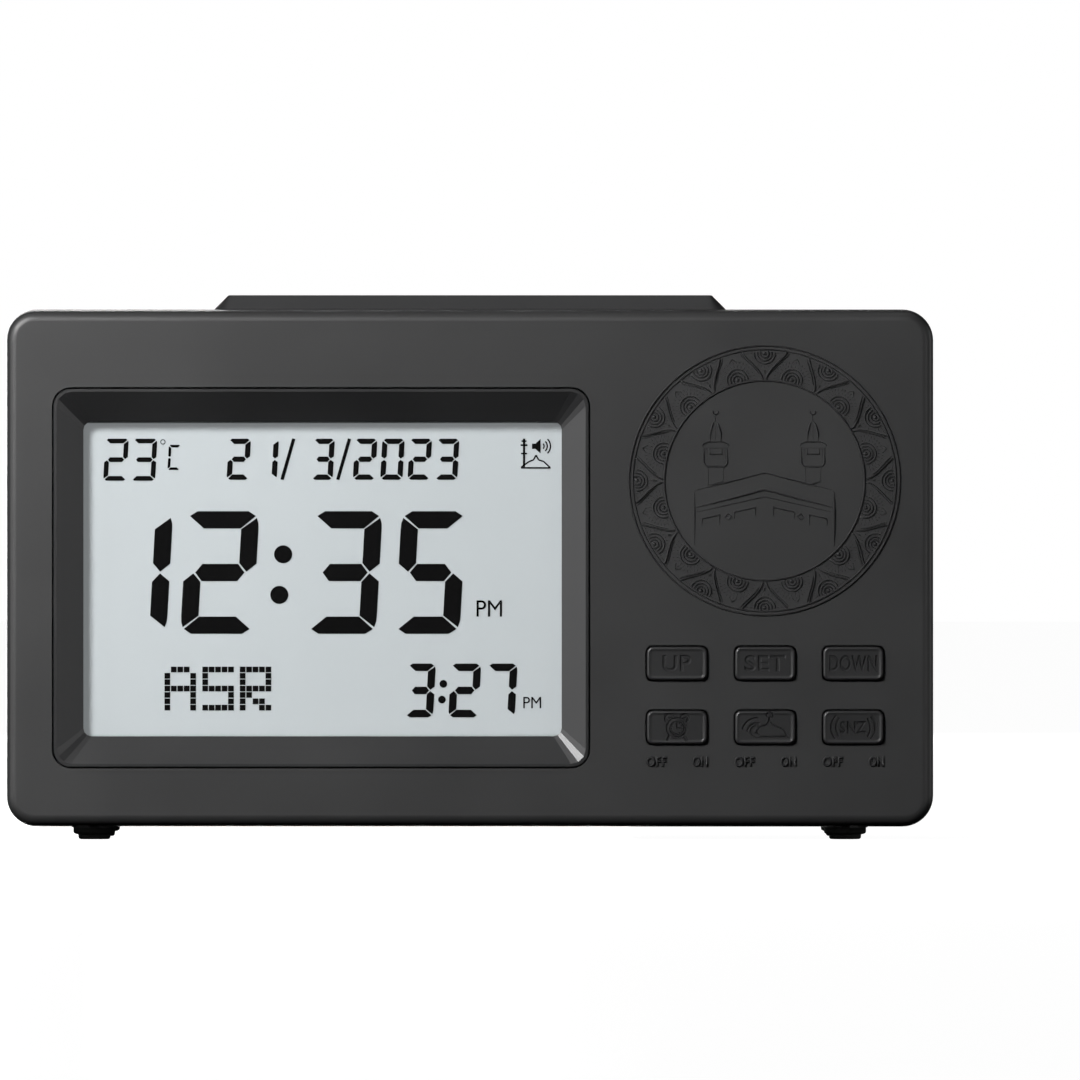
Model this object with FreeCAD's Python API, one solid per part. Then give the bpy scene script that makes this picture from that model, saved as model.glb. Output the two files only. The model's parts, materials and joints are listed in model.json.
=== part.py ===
import FreeCAD, Part
import math
import os

from FreeCAD import Vector

# Digital prayer alarm clock, in millimetres.
# X runs to the right of the face, Y to the rear and Z up. The feet stand on Z = 0 and the
# middle of the width and of the depth is at X = Y = 0. A depth is measured back from the face.

# Case
WIDTH = 150.0
BODY_H = 83.7
DEPTH = 50.0
WALL = 2.2
CORNER_R = 5.0
FRONT_DEPTH = 16.0
FRONT_DRAFT = 0.5
REAR_DRAFT = 0.3
FRONT_EDGE_R = 1.6
REAR_EDGE_R = 2.0
PART_GAP = 0.25
LIP_INSET = 1.2
LIP_H = 1.6
LIP_CLEAR = 0.15

# Feet
FOOT_H = 1.9
FOOT_PAD_H = 0.85
FOOT_PAD_R = 2.6
FOOT_FLANGE_R = 3.4
FOOT_STEM_R = 1.5
FOOT_SIDE = 14.4
FOOT_EDGE_DEPTH = 8.2

# Case screws
POST_SIDE = 8.0
POST_EDGE = 5.4
POST_R = 3.2
REAR_POST_R = 3.7
WELL_R = 2.6
WELL_SEAT = 27.0
SCREW_R = 1.2
SCREW_HEAD_R = 2.3
SCREW_HEAD_H = 1.6
SCREW_BITE = 8.0
PILOT_CLEAR = 0.05
POST_CLEAR = 0.6

# Small hidden round parts are prisms with this many sides, larger ones with the second number
SIDES = 6
FINE_SIDES = 16
CORNER_STEPS = 3

# Display bezel, window and stack
BEZEL_X = -23.9
BEZEL_Z = 42.2
BEZEL_W = 86.1
BEZEL_H = 60.8
BEZEL_R = 2.8
BEZEL_GAP = 0.3
BEZEL_PROUD = 0.15
BEZEL_RIM = 0.45
BEZEL_FLANGE = 1.2
BEZEL_FLANGE_T = 1.4
BEVEL_DEPTH = 2.6
VIEW_X = -23.7
VIEW_Z = 42.0
VIEW_W = 77.1
VIEW_H = 50.7
VIEW_R = 1.3
WINDOW_T = 1.2
GLASS_W = 80.5
GLASS_H = 57.0
GLASS_T = 0.7
POLARISER_T = 0.2
POLARISER_EDGE = 0.6
REAR_GLASS_H = 51.5
GUIDE_W = 76.0
GUIDE_H = 50.0
GUIDE_T = 2.5
FIT = 0.15
HOLDER_EDGE = 1.9
GUIDE_LIP = 2.0
ZEBRA_W = 2.0
ZEBRA_END = 3.0
LED_W = 4.0
LED_T = 1.5
LED_PITCH = 16.0

# Boards
BOARD_T = 1.6
MAIN_BOARD_DEPTH = 10.6
MAIN_BOARD_W = 75.0
MAIN_BOARD_H = 73.6
MAIN_SCREW_DX = 30.0
MAIN_SCREW_DZ = 34.3
KEY_BOARD_DEPTH = 10.0
KEY_BOARD_W = 39.0
KEY_BOARD_H = 30.4
KEY_SCREW_DX = 7.1
KEY_SCREW_DZ = 12.4
BOSS_R = 2.4
BOARD_SCREW_R = 0.95
BOARD_SCREW_HEAD_R = 1.9
BOARD_SCREW_HEAD_H = 1.2
BOARD_SCREW_BITE = 5.0

# Keys and switches
KEY_X = 47.6
KEY_PITCH_X = 14.19
KEY_TOP_Z = 28.4
KEY_PITCH_Z = 10.3
KEY_HOLE_W = 10.2
KEY_HOLE_H = 5.9
KEY_R = 1.1
KEY_GAP = 0.25
KEY_PROUD = 0.7
KEY_CHAMFER = 0.3
KEY_FLANGE = 0.9
KEY_FLANGE_T = 1.0
KEY_STEM_R = 1.9
KEY_TRAVEL = 0.6
RUN_GAP = 0.1
SWITCH_W = 6.0
SWITCH_H = 3.5
PLUNGER_R = 1.75
PLUNGER_H = 1.5
PLUNGER_IN = 1.0
SWITCH_FLOOR = 1.0

# Snooze bar
BAR_H = 2.4
BAR_W = 83.2
BAR_D = 15.0
BAR_SLOPE = 2.4
BAR_R = 3.0
BAR_EDGE_R = 0.5
BAR_DEPTH = 27.5
BAR_GAP = 0.3
BAR_WALL = 1.6
BAR_FLANGE = 1.0
BAR_FLANGE_T = 1.3
BAR_TRAVEL = 1.2
SNOOZE_BOARD_Z = 76.2
SNOOZE_BOARD_W = 99.0
SNOOZE_BOARD_D = 12.0
SNOOZE_SWITCH_X = 24.0
SNOOZE_BOSS_X = 46.5

# Battery bay and door
BAY_X = -24.0
BAY_Z = 43.5
BAY_W = 56.0
CELL_R = 7.25
CELL_L = 49.2
NIB_R = 2.75
NIB_L = 1.3
CELL_PITCH = 15.0
BAY_MARGIN = 0.4
TUB_WALL = 1.4
DOOR_T = 1.8
DOOR_GAP = 0.3
DOOR_R = 2.0
DOOR_EDGE = 1.2
TAB_W = 6.0
TAB_DX = 18.0
TAB_DROP = 1.6
TAB_T = 1.4
LATCH_W = 14.0
LATCH_T = 0.7
LATCH_REACH = 2.2
LATCH_GAP = 0.6
NOTCH_W = 10.0
NOTCH_H = 3.0
LEAF_T = 0.35
LEAF_W = 6.0
LEAF_SPAN = 8.0
PLATE_T = 0.4
PLATE_W = 11.0

# Speaker
SPEAKER_X = 44.0
SPEAKER_Z = 44.0
SPEAKER_R = 20.0
SPEAKER_FLANGE_T = 0.8
GASKET_T = 1.0
CONE_R = 17.6
MAGNET_R = 10.5
MAGNET_T = 5.0
BASKET_DEPTH = 8.5
BASKET_T = 0.7
DUST_CAP_R = 5.5
GRILLE_R = 17.0
SLOT_W = 1.6
SLOT_PITCH = 3.2
SPEAKER_SCREW_R = 22.6
SPEAKER_SCREW_HEAD_R = 3.0
SPEAKER_SCREW_BITE = 2.8

# Relief ornament on the face
RING_X = 47.5
RING_Z = 57.85
RING_R = 21.9
RING_INNER_R = 16.0
RELIEF = 0.25
RIM_W = 0.5
LOBES = 12
RIDGE_W = 0.35
RING_SIDES = 36

# Leads and their sockets
SOCKET_W = 5.0
SOCKET_H = 4.0
SOCKET_T = 3.6
BATTERY_SOCKET = (BEZEL_X - 20.0, BEZEL_Z + 16.0)
SPEAKER_SOCKET = (BEZEL_X + 32.0, BEZEL_Z + 1.8)
SNOOZE_SOCKET = (BEZEL_X + 8.0, BEZEL_Z + 28.0)
RIBBON_SOCKET = (BEZEL_X + 33.0, BEZEL_Z - 18.0)
RIBBON_W = 9.0
LEAD_W = 2.4
LEAD_T = 1.1
LEAD_BEND = 2.5

CASE_DEPTH = DEPTH - KEY_PROUD
FACE_Y = -DEPTH / 2 + KEY_PROUD
BODY_TOP = FOOT_H + BODY_H
MID_Z = FOOT_H + BODY_H / 2
WINDOW_DEPTH = WALL + BEZEL_FLANGE_T
FRONT_POLARISER_DEPTH = WINDOW_DEPTH + WINDOW_T
GLASS_DEPTH = FRONT_POLARISER_DEPTH + POLARISER_T
REAR_GLASS_DEPTH = GLASS_DEPTH + GLASS_T
REAR_POLARISER_DEPTH = REAR_GLASS_DEPTH + GLASS_T
GUIDE_DEPTH = REAR_POLARISER_DEPTH + POLARISER_T
MAIN_BACK = MAIN_BOARD_DEPTH + BOARD_T
KEY_BACK = KEY_BOARD_DEPTH + BOARD_T
BAR_Y = FACE_Y + BAR_DEPTH
BAY_H = 3 * CELL_PITCH + 2 * BAY_MARGIN
DOOR_LOW = BAY_Z - BAY_H / 2 - DOOR_EDGE + DOOR_GAP
DOOR_HIGH = BAY_Z + BAY_H / 2 + DOOR_EDGE - DOOR_GAP
HINGE_R = DOOR_T / 2
CELL_DEPTH = CASE_DEPTH - DOOR_T - BAY_MARGIN - CELL_R
TUB_FLOOR = CELL_DEPTH - CELL_R - BAY_MARGIN
SPEAKER_SEAT = CASE_DEPTH - WALL - GASKET_T - SPEAKER_FLANGE_T
KEYS = (
    ("key_up", -1, 0),
    ("key_set", 0, 0),
    ("key_down", 1, 0),
    ("key_alarm", -1, 1),
    ("key_azan", 0, 1),
    ("key_snooze", 1, 1),
)


# Helpers

def upright(depth):
    """Maps a point (x, z) into the plane that lies a depth behind the face."""
    return lambda u, v: Vector(u, FACE_Y + depth, v)


def level(z):
    """Maps a point (x, y) into the level plane at a height."""
    return lambda u, v: Vector(u, v, z)


def at(x, depth, z):
    return Vector(x, FACE_Y + depth, z)


def rounded_wire(u0, u1, v0, v1, radius, place):
    """Closed outline of a rectangle with round corners, in the plane that place maps to."""
    side = radius * (1 - math.sqrt(0.5))
    edges = [
        Part.makeLine(place(u0 + radius, v0), place(u1 - radius, v0)),
        Part.Arc(place(u1 - radius, v0), place(u1 - side, v0 + side), place(u1, v0 + radius)).toShape(),
        Part.makeLine(place(u1, v0 + radius), place(u1, v1 - radius)),
        Part.Arc(place(u1, v1 - radius), place(u1 - side, v1 - side), place(u1 - radius, v1)).toShape(),
        Part.makeLine(place(u1 - radius, v1), place(u0 + radius, v1)),
        Part.Arc(place(u0 + radius, v1), place(u0 + side, v1 - side), place(u0, v1 - radius)).toShape(),
        Part.makeLine(place(u0, v1 - radius), place(u0, v0 + radius)),
        Part.Arc(place(u0, v0 + radius), place(u0 + side, v0 + side), place(u0 + radius, v0)).toShape(),
    ]
    return Part.Wire(edges)


def centred_wire(x, z, width, height, radius, depth):
    """Upright rounded outline given by its centre and size."""
    return rounded_wire(x - width / 2, x + width / 2, z - height / 2, z + height / 2,
                        radius, upright(depth))


def corner_points(x, z, width, height, radius, depth):
    """Upright outline of a rectangle with corners rounded in steps, as points in order."""
    points = []
    for i, (sx, sz) in enumerate(((1, 1), (-1, 1), (-1, -1), (1, -1))):
        centre_x = x + sx * (width / 2 - radius)
        centre_z = z + sz * (height / 2 - radius)
        for step in range(CORNER_STEPS + 1):
            angle = math.pi / 2 * (i + step / CORNER_STEPS)
            points.append(at(centre_x + radius * math.cos(angle), depth, centre_z + radius * math.sin(angle)))
    return points


def skinned(near, far):
    """Solid between two upright outlines with as many points each."""
    faces = [facet(near), facet(far)]
    for i in range(len(near)):
        faces.append(facet([near[i - 1], near[i], far[i]]))
        faces.append(facet([near[i - 1], far[i], far[i - 1]]))
    return Part.makeSolid(Part.makeShell(faces))


def slab(x, z, width, height, radius, depth0, depth1):
    """Upright plate with round corners between two depths."""
    face = Part.Face(centred_wire(x, z, width, height, radius, depth0))
    return face.extrude(Vector(0, depth1 - depth0, 0))


def block(x0, x1, depth0, depth1, z0, z1):
    """Square-cornered block, its Y range given as depths behind the face."""
    return Part.makeBox(x1 - x0, depth1 - depth0, z1 - z0, Vector(x0, FACE_Y + depth0, z0))


def centred_block(x, z, width, height, depth0, depth1):
    return block(x - width / 2, x + width / 2, depth0, depth1, z - height / 2, z + height / 2)


def ngon(x, z, radius, depth, sides):
    """Corners of an upright regular polygon round a centre."""
    points = []
    for i in range(sides):
        angle = 2 * math.pi * (i + 0.5) / sides
        points.append(at(x + radius * math.cos(angle), depth, z + radius * math.sin(angle)))
    return points


def facet(points):
    """Flat face through its corners in order."""
    return Part.Face(Part.makePolygon(points + points[:1]))


def drum(x, z, radius, depth0, depth1, sides=SIDES):
    """Many-sided bar along Y."""
    return facet(ngon(x, z, radius, depth0, sides)).extrude(Vector(0, depth1 - depth0, 0))


def upright_drum(x, y, radius, z0, z1, sides=SIDES):
    """Many-sided bar along Z."""
    bar = drum(x, -y, radius, z0, z1, sides)
    bar.rotate(Vector(0, 0, 0), Vector(1, 0, 0), 90)
    bar.translate(Vector(0, 0, -FACE_Y))
    return bar


def tapered_drum(x, z, radius0, depth0, radius1, depth1, sides=FINE_SIDES):
    """Many-sided cone frustum along Y."""
    return skinned(ngon(x, z, radius0, depth0, sides), ngon(x, z, radius1, depth1, sides))


def joined(solids):
    """One solid from overlapping or touching ones, with every face kept."""
    whole = solids[0]
    for solid in solids[1:]:
        whole = whole.fuse(solid)
    return whole


def fused(solids):
    """One solid from overlapping or touching ones, with the faces in one plane merged."""
    return joined(solids).removeSplitter()


def cut_all(solid, tools):
    for tool in tools:
        solid = solid.cut(tool)
    return solid


def edges_in_plane(solid, axis, value):
    """Edges that lie wholly in the plane where a coordinate has a value."""
    found = []
    for edge in solid.Edges:
        box = edge.BoundBox
        low = (box.XMin, box.YMin, box.ZMin)[axis]
        high = (box.XMax, box.YMax, box.ZMax)[axis]
        if abs(low - value) < 1e-3 and abs(high - value) < 1e-3:
            found.append(edge)
    return found


def lead(points, width, thick, side):
    """Flat lead along a path of straight runs joined by tangent arcs.

    side is the direction that the width of the lead lies in, square to the whole path.
    """
    edges = []
    start = points[0]
    for i in range(1, len(points) - 1):
        before = (points[i - 1] - points[i]).normalize()
        after = (points[i + 1] - points[i]).normalize()
        bend = min(LEAD_BEND, (points[i - 1] - points[i]).Length * 0.45,
                   (points[i + 1] - points[i]).Length * 0.45)
        half = before.getAngle(after) / 2
        radius = bend * math.tan(half)
        inward = (before + after).normalize()
        middle = points[i] + inward * (radius / math.sin(half) - radius)
        edges.append(Part.makeLine(start, points[i] + before * bend))
        edges.append(Part.Arc(points[i] + before * bend, middle, points[i] + after * bend).toShape())
        start = points[i] + after * bend
    edges.append(Part.makeLine(start, points[-1]))
    along = (points[1] - points[0]).normalize()
    across = along.cross(side).normalize()
    a = side * (width / 2)
    b = across * (thick / 2)
    corners = [points[0] + a + b, points[0] - a + b, points[0] - a - b, points[0] + a - b]
    section = Part.makePolygon(corners + corners[:1])
    return Part.Wire(edges).makePipeShell([section], True, False)


def save(name, solids):
    """Writes one node. Separate solids of a node stay separate."""
    shape = solids if not isinstance(solids, list) else Part.makeCompound(solids)
    whole = all(solid.isValid() for solid in shape.Solids) and len(shape.Solids) > 0
    print(name, len(shape.Solids), "ok" if whole else "NOT VALID", round(shape.Volume, 2))
    shape.exportStep(os.path.join("parts", name + ".step"))


# Case

def case_inset(depth):
    """How far the tapered walls lie inside the outline at the parting line."""
    ahead = max(0, 1 - depth / FRONT_DEPTH)
    behind = max(0, (depth - FRONT_DEPTH) / (CASE_DEPTH - FRONT_DEPTH))
    return FRONT_DRAFT * ahead + REAR_DRAFT * behind


def case_outline(depth, inset):
    """Outline of the case at a depth behind the face, moved inwards by an inset."""
    total = case_inset(depth) + inset
    half = WIDTH / 2 - total
    return rounded_wire(-half, half, FOOT_H + total, BODY_TOP - total, max(CORNER_R - total, 0.5),
                        upright(depth))


def case_room(depth0, depth1, inset):
    """Square-cornered room inside the tapered walls."""
    total0 = case_inset(depth0) + inset
    total1 = case_inset(depth1) + inset
    return frustum(WIDTH / 2 - total0, BODY_H / 2 - total0, depth0, WIDTH / 2 - total1, BODY_H / 2 - total1,
                   depth1)


def frustum(half_w0, half_h0, depth0, half_w1, half_h1, depth1):
    """Block with flat tapered sides, centred on the case."""
    y0 = FACE_Y + depth0
    y1 = FACE_Y + depth1
    return Part.makeWedge(-half_w0, y0, MID_Z - half_h0, MID_Z - half_h1, -half_w1,
                          half_w0, y1, MID_Z + half_h0, MID_Z + half_h1, half_w1)


def case_block(depth0, depth1, inset):
    """Tapered case form: flat sides that meet in cone corners."""
    total0 = case_inset(depth0) + inset
    total1 = case_inset(depth1) + inset
    half_w = WIDTH / 2
    half_h = BODY_H / 2
    corner_x = half_w - CORNER_R
    corner_h = half_h - CORNER_R
    solids = [
        frustum(half_w - total0, corner_h, depth0, half_w - total1, corner_h, depth1),
        frustum(corner_x, half_h - total0, depth0, corner_x, half_h - total1, depth1),
    ]
    for sx in (-1, 1):
        for sz in (-1, 1):
            start = Vector(sx * corner_x, FACE_Y + depth0, MID_Z + sz * corner_h)
            solids.append(Part.makeCone(CORNER_R - total0, CORNER_R - total1, depth1 - depth0,
                                        start, Vector(0, 1, 0)))
    return fused(solids)


def case_posts():
    """Places of the four case screws, as (x, z)."""
    x = WIDTH / 2 - POST_SIDE
    return [(sx * x, z) for sx in (-1, 1) for z in (FOOT_H + POST_EDGE, BODY_TOP - POST_EDGE)]


def main_screws():
    return [(BEZEL_X + sx * MAIN_SCREW_DX, BEZEL_Z + sz * MAIN_SCREW_DZ)
            for sx in (-1, 1) for sz in (-1, 1)]


def key_rows_z():
    return KEY_TOP_Z - KEY_PITCH_Z / 2


def key_screws():
    return [(KEY_X + sx * KEY_SCREW_DX, key_rows_z() + sz * KEY_SCREW_DZ)
            for sx in (-1, 1) for sz in (-1, 1)]


def key_place(column, row):
    return KEY_X + column * KEY_PITCH_X, KEY_TOP_Z - row * KEY_PITCH_Z


def foot_places():
    """Places of the feet as (x, depth)."""
    x = WIDTH / 2 - FOOT_SIDE
    return [(sx * x, depth) for depth in (FOOT_EDGE_DEPTH, CASE_DEPTH - FOOT_EDGE_DEPTH) for sx in (-1, 1)]


def foot_boss(x, depth):
    """Flat round seat under the case for a foot."""
    return upright_drum(x, FACE_Y + depth, FOOT_FLANGE_R + 0.3, FOOT_H, FOOT_H + WALL + FRONT_DRAFT,
                        FINE_SIDES)


def foot_hole(x, depth):
    return upright_drum(x, FACE_Y + depth, FOOT_STEM_R, FOOT_H - 1, FOOT_H + WALL + FRONT_DRAFT + 1)


def front_case():
    shell = case_block(0, FRONT_DEPTH, 0)
    shell = shell.makeFillet(FRONT_EDGE_R, edges_in_plane(shell, 1, FACE_Y))
    shell = shell.cut(case_room(WALL, FRONT_DEPTH, WALL))
    lip = Part.Face(case_outline(FRONT_DEPTH, LIP_INSET)).extrude(Vector(0, LIP_H, 0))
    room = frustum(WIDTH / 2 - WALL, BODY_H / 2 - WALL, FRONT_DEPTH - 1, WIDTH / 2 - WALL, BODY_H / 2 - WALL,
                   FRONT_DEPTH + LIP_H + 1)
    solids = [shell] + lip.cut(room).Solids
    keep = case_room(0, FRONT_DEPTH, WALL / 2)
    for x, z in case_posts():
        solids.append(drum(x, z, POST_R, WALL / 2, FRONT_DEPTH).common(keep))
    for x, z in main_screws():
        solids.append(drum(x, z, BOSS_R, WALL / 2, MAIN_BOARD_DEPTH).common(keep))
    for x, z in key_screws():
        solids.append(drum(x, z, BOSS_R, WALL / 2, KEY_BOARD_DEPTH))
    for x, depth in foot_places()[:2]:
        solids.append(foot_boss(x, depth))
    case = joined(solids)
    tools = [slab(BEZEL_X, BEZEL_Z, BEZEL_W + 2 * BEZEL_GAP, BEZEL_H + 2 * BEZEL_GAP,
                  BEZEL_R + BEZEL_GAP, -1, WALL + 0.01)]
    for name, column, row in KEYS:
        x, z = key_place(column, row)
        outline = corner_points(x, z, KEY_HOLE_W, KEY_HOLE_H, KEY_R, -1)
        tools.append(facet(outline).extrude(Vector(0, WALL + 2, 0)))
    for x, z in case_posts():
        tools.append(drum(x, z, SCREW_R + PILOT_CLEAR, FRONT_DEPTH - SCREW_BITE - 1, FRONT_DEPTH + 1))
    for x, z in main_screws():
        depth = MAIN_BOARD_DEPTH
        tools.append(drum(x, z, BOARD_SCREW_R + PILOT_CLEAR, depth - BOARD_SCREW_BITE - 1, depth + 1))
    for x, z in key_screws():
        depth = KEY_BOARD_DEPTH
        tools.append(drum(x, z, BOARD_SCREW_R + PILOT_CLEAR, depth - BOARD_SCREW_BITE - 1, depth + 1))
    for x, depth in foot_places()[:2]:
        tools.append(foot_hole(x, depth))
    return cut_all(case, tools)


def grille():
    """Parallel slots, clipped to the round of the speaker."""
    count = int(GRILLE_R / SLOT_PITCH)
    slots = []
    for i in range(-count, count + 1):
        z = SPEAKER_Z + i * SLOT_PITCH
        half = math.sqrt(GRILLE_R ** 2 - (i * SLOT_PITCH) ** 2)
        slots.append(centred_block(SPEAKER_X, z, 2 * half, SLOT_W, CASE_DEPTH - WALL - 1, CASE_DEPTH + 1))
    return slots


def speaker_screws():
    """Places of the speaker screws, as (x, z)."""
    return [(SPEAKER_X + SPEAKER_SCREW_R * math.cos(math.radians(angle)),
             SPEAKER_Z + SPEAKER_SCREW_R * math.sin(math.radians(angle))) for angle in (90, 210, 330)]


def bay_outer(depth0, depth1):
    return centred_block(BAY_X, BAY_Z, BAY_W + 2 * TUB_WALL, BAY_H + 2 * TUB_WALL, depth0, depth1)


def rear_case():
    front = FRONT_DEPTH + PART_GAP
    shell = case_block(front, CASE_DEPTH, 0)
    shell = shell.makeFillet(REAR_EDGE_R, edges_in_plane(shell, 1, FACE_Y + CASE_DEPTH))
    shell = shell.cut(case_room(front, CASE_DEPTH - WALL, WALL))
    rebate = Part.Face(case_outline(FRONT_DEPTH, LIP_INSET - LIP_CLEAR))
    shell = shell.cut(rebate.extrude(Vector(0, LIP_H + LIP_CLEAR, 0)))
    keep = case_room(front, CASE_DEPTH - WALL / 2, WALL / 2)
    solids = [shell]
    for x, z in case_posts():
        solids.append(drum(x, z, REAR_POST_R, front + LIP_H + LIP_CLEAR, CASE_DEPTH - WALL / 2).common(keep))
        solids.append(drum(x, z, POST_R - 1, FRONT_DEPTH, WELL_SEAT))
    solids.append(bay_outer(TUB_FLOOR - TUB_WALL, CASE_DEPTH - WALL / 2))
    top = BODY_TOP - WALL / 2
    for sx in (-1, 1):
        solids.append(upright_drum(sx * SNOOZE_BOSS_X, BAR_Y, BOSS_R, SNOOZE_BOARD_Z, top))
    for x, z in speaker_screws():
        solids.append(drum(x, z, BOSS_R - 0.3, SPEAKER_SEAT, CASE_DEPTH - WALL / 2))
    for x, depth in foot_places()[2:]:
        solids.append(foot_boss(x, depth))
    case = joined(solids)
    tools = [centred_block(BAY_X, BAY_Z, BAY_W, BAY_H, TUB_FLOOR, CASE_DEPTH + 1)]
    tools.append(door_opening())
    tools += tab_slots()
    tools.append(finger_notch())
    tools += grille()
    tools.append(bar_hole(BODY_TOP - WALL - 2, BODY_TOP + 1))
    for x, z in case_posts():
        tools.append(drum(x, z, WELL_R, WELL_SEAT, CASE_DEPTH + 1, FINE_SIDES))
        tools.append(drum(x, z, SCREW_R + 0.25, FRONT_DEPTH - 1, WELL_SEAT + 1))
    for sx in (-1, 1):
        tools.append(upright_drum(sx * SNOOZE_BOSS_X, BAR_Y, BOARD_SCREW_R + PILOT_CLEAR,
                          SNOOZE_BOARD_Z - 1, SNOOZE_BOARD_Z + BOARD_SCREW_BITE))
    for x, z in speaker_screws():
        tools.append(drum(x, z, BOARD_SCREW_R + PILOT_CLEAR, SPEAKER_SEAT - 1,
                         SPEAKER_SEAT + SPEAKER_SCREW_BITE + 0.2))
    tools.append(drum(SPEAKER_X, SPEAKER_Z, SPEAKER_R + PILOT_CLEAR, SPEAKER_SEAT - 1, CASE_DEPTH - WALL,
                      FINE_SIDES))
    for x, depth in foot_places()[2:]:
        tools.append(foot_hole(x, depth))
    return cut_all(case, tools)


def door_opening():
    """Rebate in the rear wall that the battery door lies in."""
    return slab(BAY_X, BAY_Z, BAY_W + 2 * DOOR_EDGE, BAY_H + 2 * DOOR_EDGE, DOOR_R,
                CASE_DEPTH - DOOR_T, CASE_DEPTH + 1)


def tab_slots():
    """Room in the lower wall of the bay for the hinge tabs of the door and their swing."""
    made = []
    bay_low = BAY_Z - BAY_H / 2
    rear = CASE_DEPTH - WALL
    half = TAB_W / 2 + DOOR_GAP
    for side in (-1, 1):
        x = BAY_X + side * TAB_DX
        made.append(block(x - half, x + half, rear - 2 * TAB_DROP - 2 * TAB_T, rear,
                          DOOR_LOW - TAB_DROP - 2 * DOOR_GAP, bay_low + 0.01))
        made.append(block(x - half, x + half, rear - 0.1, CASE_DEPTH - DOOR_T + 0.1,
                          DOOR_LOW - DOOR_GAP, bay_low + 0.01))
    return made


def finger_notch():
    """Shallow notch in the rear wall above the latch of the door."""
    z = BAY_Z + BAY_H / 2 + DOOR_EDGE
    return block(BAY_X - NOTCH_W / 2, BAY_X + NOTCH_W / 2, CASE_DEPTH - WALL / 2, CASE_DEPTH + 1,
                 z - 0.01, z + NOTCH_H)


def bar_hole(z0, z1):
    half_w = BAR_W / 2 + BAR_GAP
    half_d = BAR_D / 2 + BAR_GAP
    outline = rounded_wire(-half_w, half_w, BAR_Y - half_d, BAR_Y + half_d, BAR_R + BAR_GAP, level(z0))
    return Part.Face(outline).extrude(Vector(0, 0, z1 - z0))


# Display

def bezel():
    body = slab(BEZEL_X, BEZEL_Z, BEZEL_W, BEZEL_H, BEZEL_R, -BEZEL_PROUD, WALL + BEZEL_FLANGE_T)
    grow = 2 * BEZEL_FLANGE
    flange = slab(BEZEL_X, BEZEL_Z, BEZEL_W + grow, BEZEL_H + grow, BEZEL_R + BEZEL_FLANGE,
                  WALL, WALL + BEZEL_FLANGE_T)
    rim = 2 * BEZEL_RIM
    mouth = corner_points(BEZEL_X, BEZEL_Z, BEZEL_W - rim, BEZEL_H - rim, BEZEL_R - BEZEL_RIM, -BEZEL_PROUD)
    throat = corner_points(VIEW_X, VIEW_Z, VIEW_W, VIEW_H, VIEW_R, BEVEL_DEPTH)
    view = facet(throat).extrude(Vector(0, WALL + BEZEL_FLANGE_T + 1 - BEVEL_DEPTH, 0))
    opening = fused([skinned(mouth, throat), view])
    return fused([body, flange]).cut(opening)


def glass_plate(height, depth, thick, trim=0.0):
    return centred_block(VIEW_X, VIEW_Z, GLASS_W - 2 * trim, height - 2 * trim, depth, depth + thick)


def zebra_z():
    """Height of a contact strip above or below the middle of the glass."""
    return (GLASS_H + REAR_GLASS_H) / 4


def zebra_block(side, gap, depth0, depth1):
    return centred_block(VIEW_X, VIEW_Z + side * zebra_z(), MAIN_BOARD_W - 2 * ZEBRA_END + 2 * gap,
                         ZEBRA_W + 2 * gap, depth0, depth1)


def led_places():
    """Heights of the side-facing lamps that light the guide."""
    return [VIEW_Z + i * LED_PITCH for i in (-1, 0, 1)]


def led_block(z, gap):
    x = VIEW_X + GUIDE_W / 2
    return block(x, x + LED_T + gap, GUIDE_DEPTH, MAIN_BOARD_DEPTH, z - LED_W / 2 - gap, z + LED_W / 2 + gap)


def lcd_holder():
    """Frame that carries the window, the glass and the light guide between bezel and board."""
    frame = centred_block(VIEW_X, VIEW_Z, GLASS_W + 2 * HOLDER_EDGE, GLASS_H + 2 * HOLDER_EDGE,
                          WINDOW_DEPTH, MAIN_BOARD_DEPTH)
    tools = [
        centred_block(VIEW_X, VIEW_Z, GLASS_W + 2 * FIT, GLASS_H + 2 * FIT, WINDOW_DEPTH - 1, GUIDE_DEPTH),
        centred_block(VIEW_X, VIEW_Z, GUIDE_W + 2 * FIT, GUIDE_H + 2 * FIT,
                      GUIDE_DEPTH - 0.1, GUIDE_DEPTH + GUIDE_T),
        centred_block(VIEW_X, VIEW_Z, GUIDE_W - 2 * GUIDE_LIP, GUIDE_H - 2 * GUIDE_LIP,
                      GUIDE_DEPTH, MAIN_BOARD_DEPTH + 1),
    ]
    for side in (-1, 1):
        tools.append(zebra_block(side, FIT, GUIDE_DEPTH - 0.1, MAIN_BOARD_DEPTH + 1))
    for z in led_places():
        tools.append(led_block(z, FIT))
    return cut_all(frame, tools)


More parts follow.
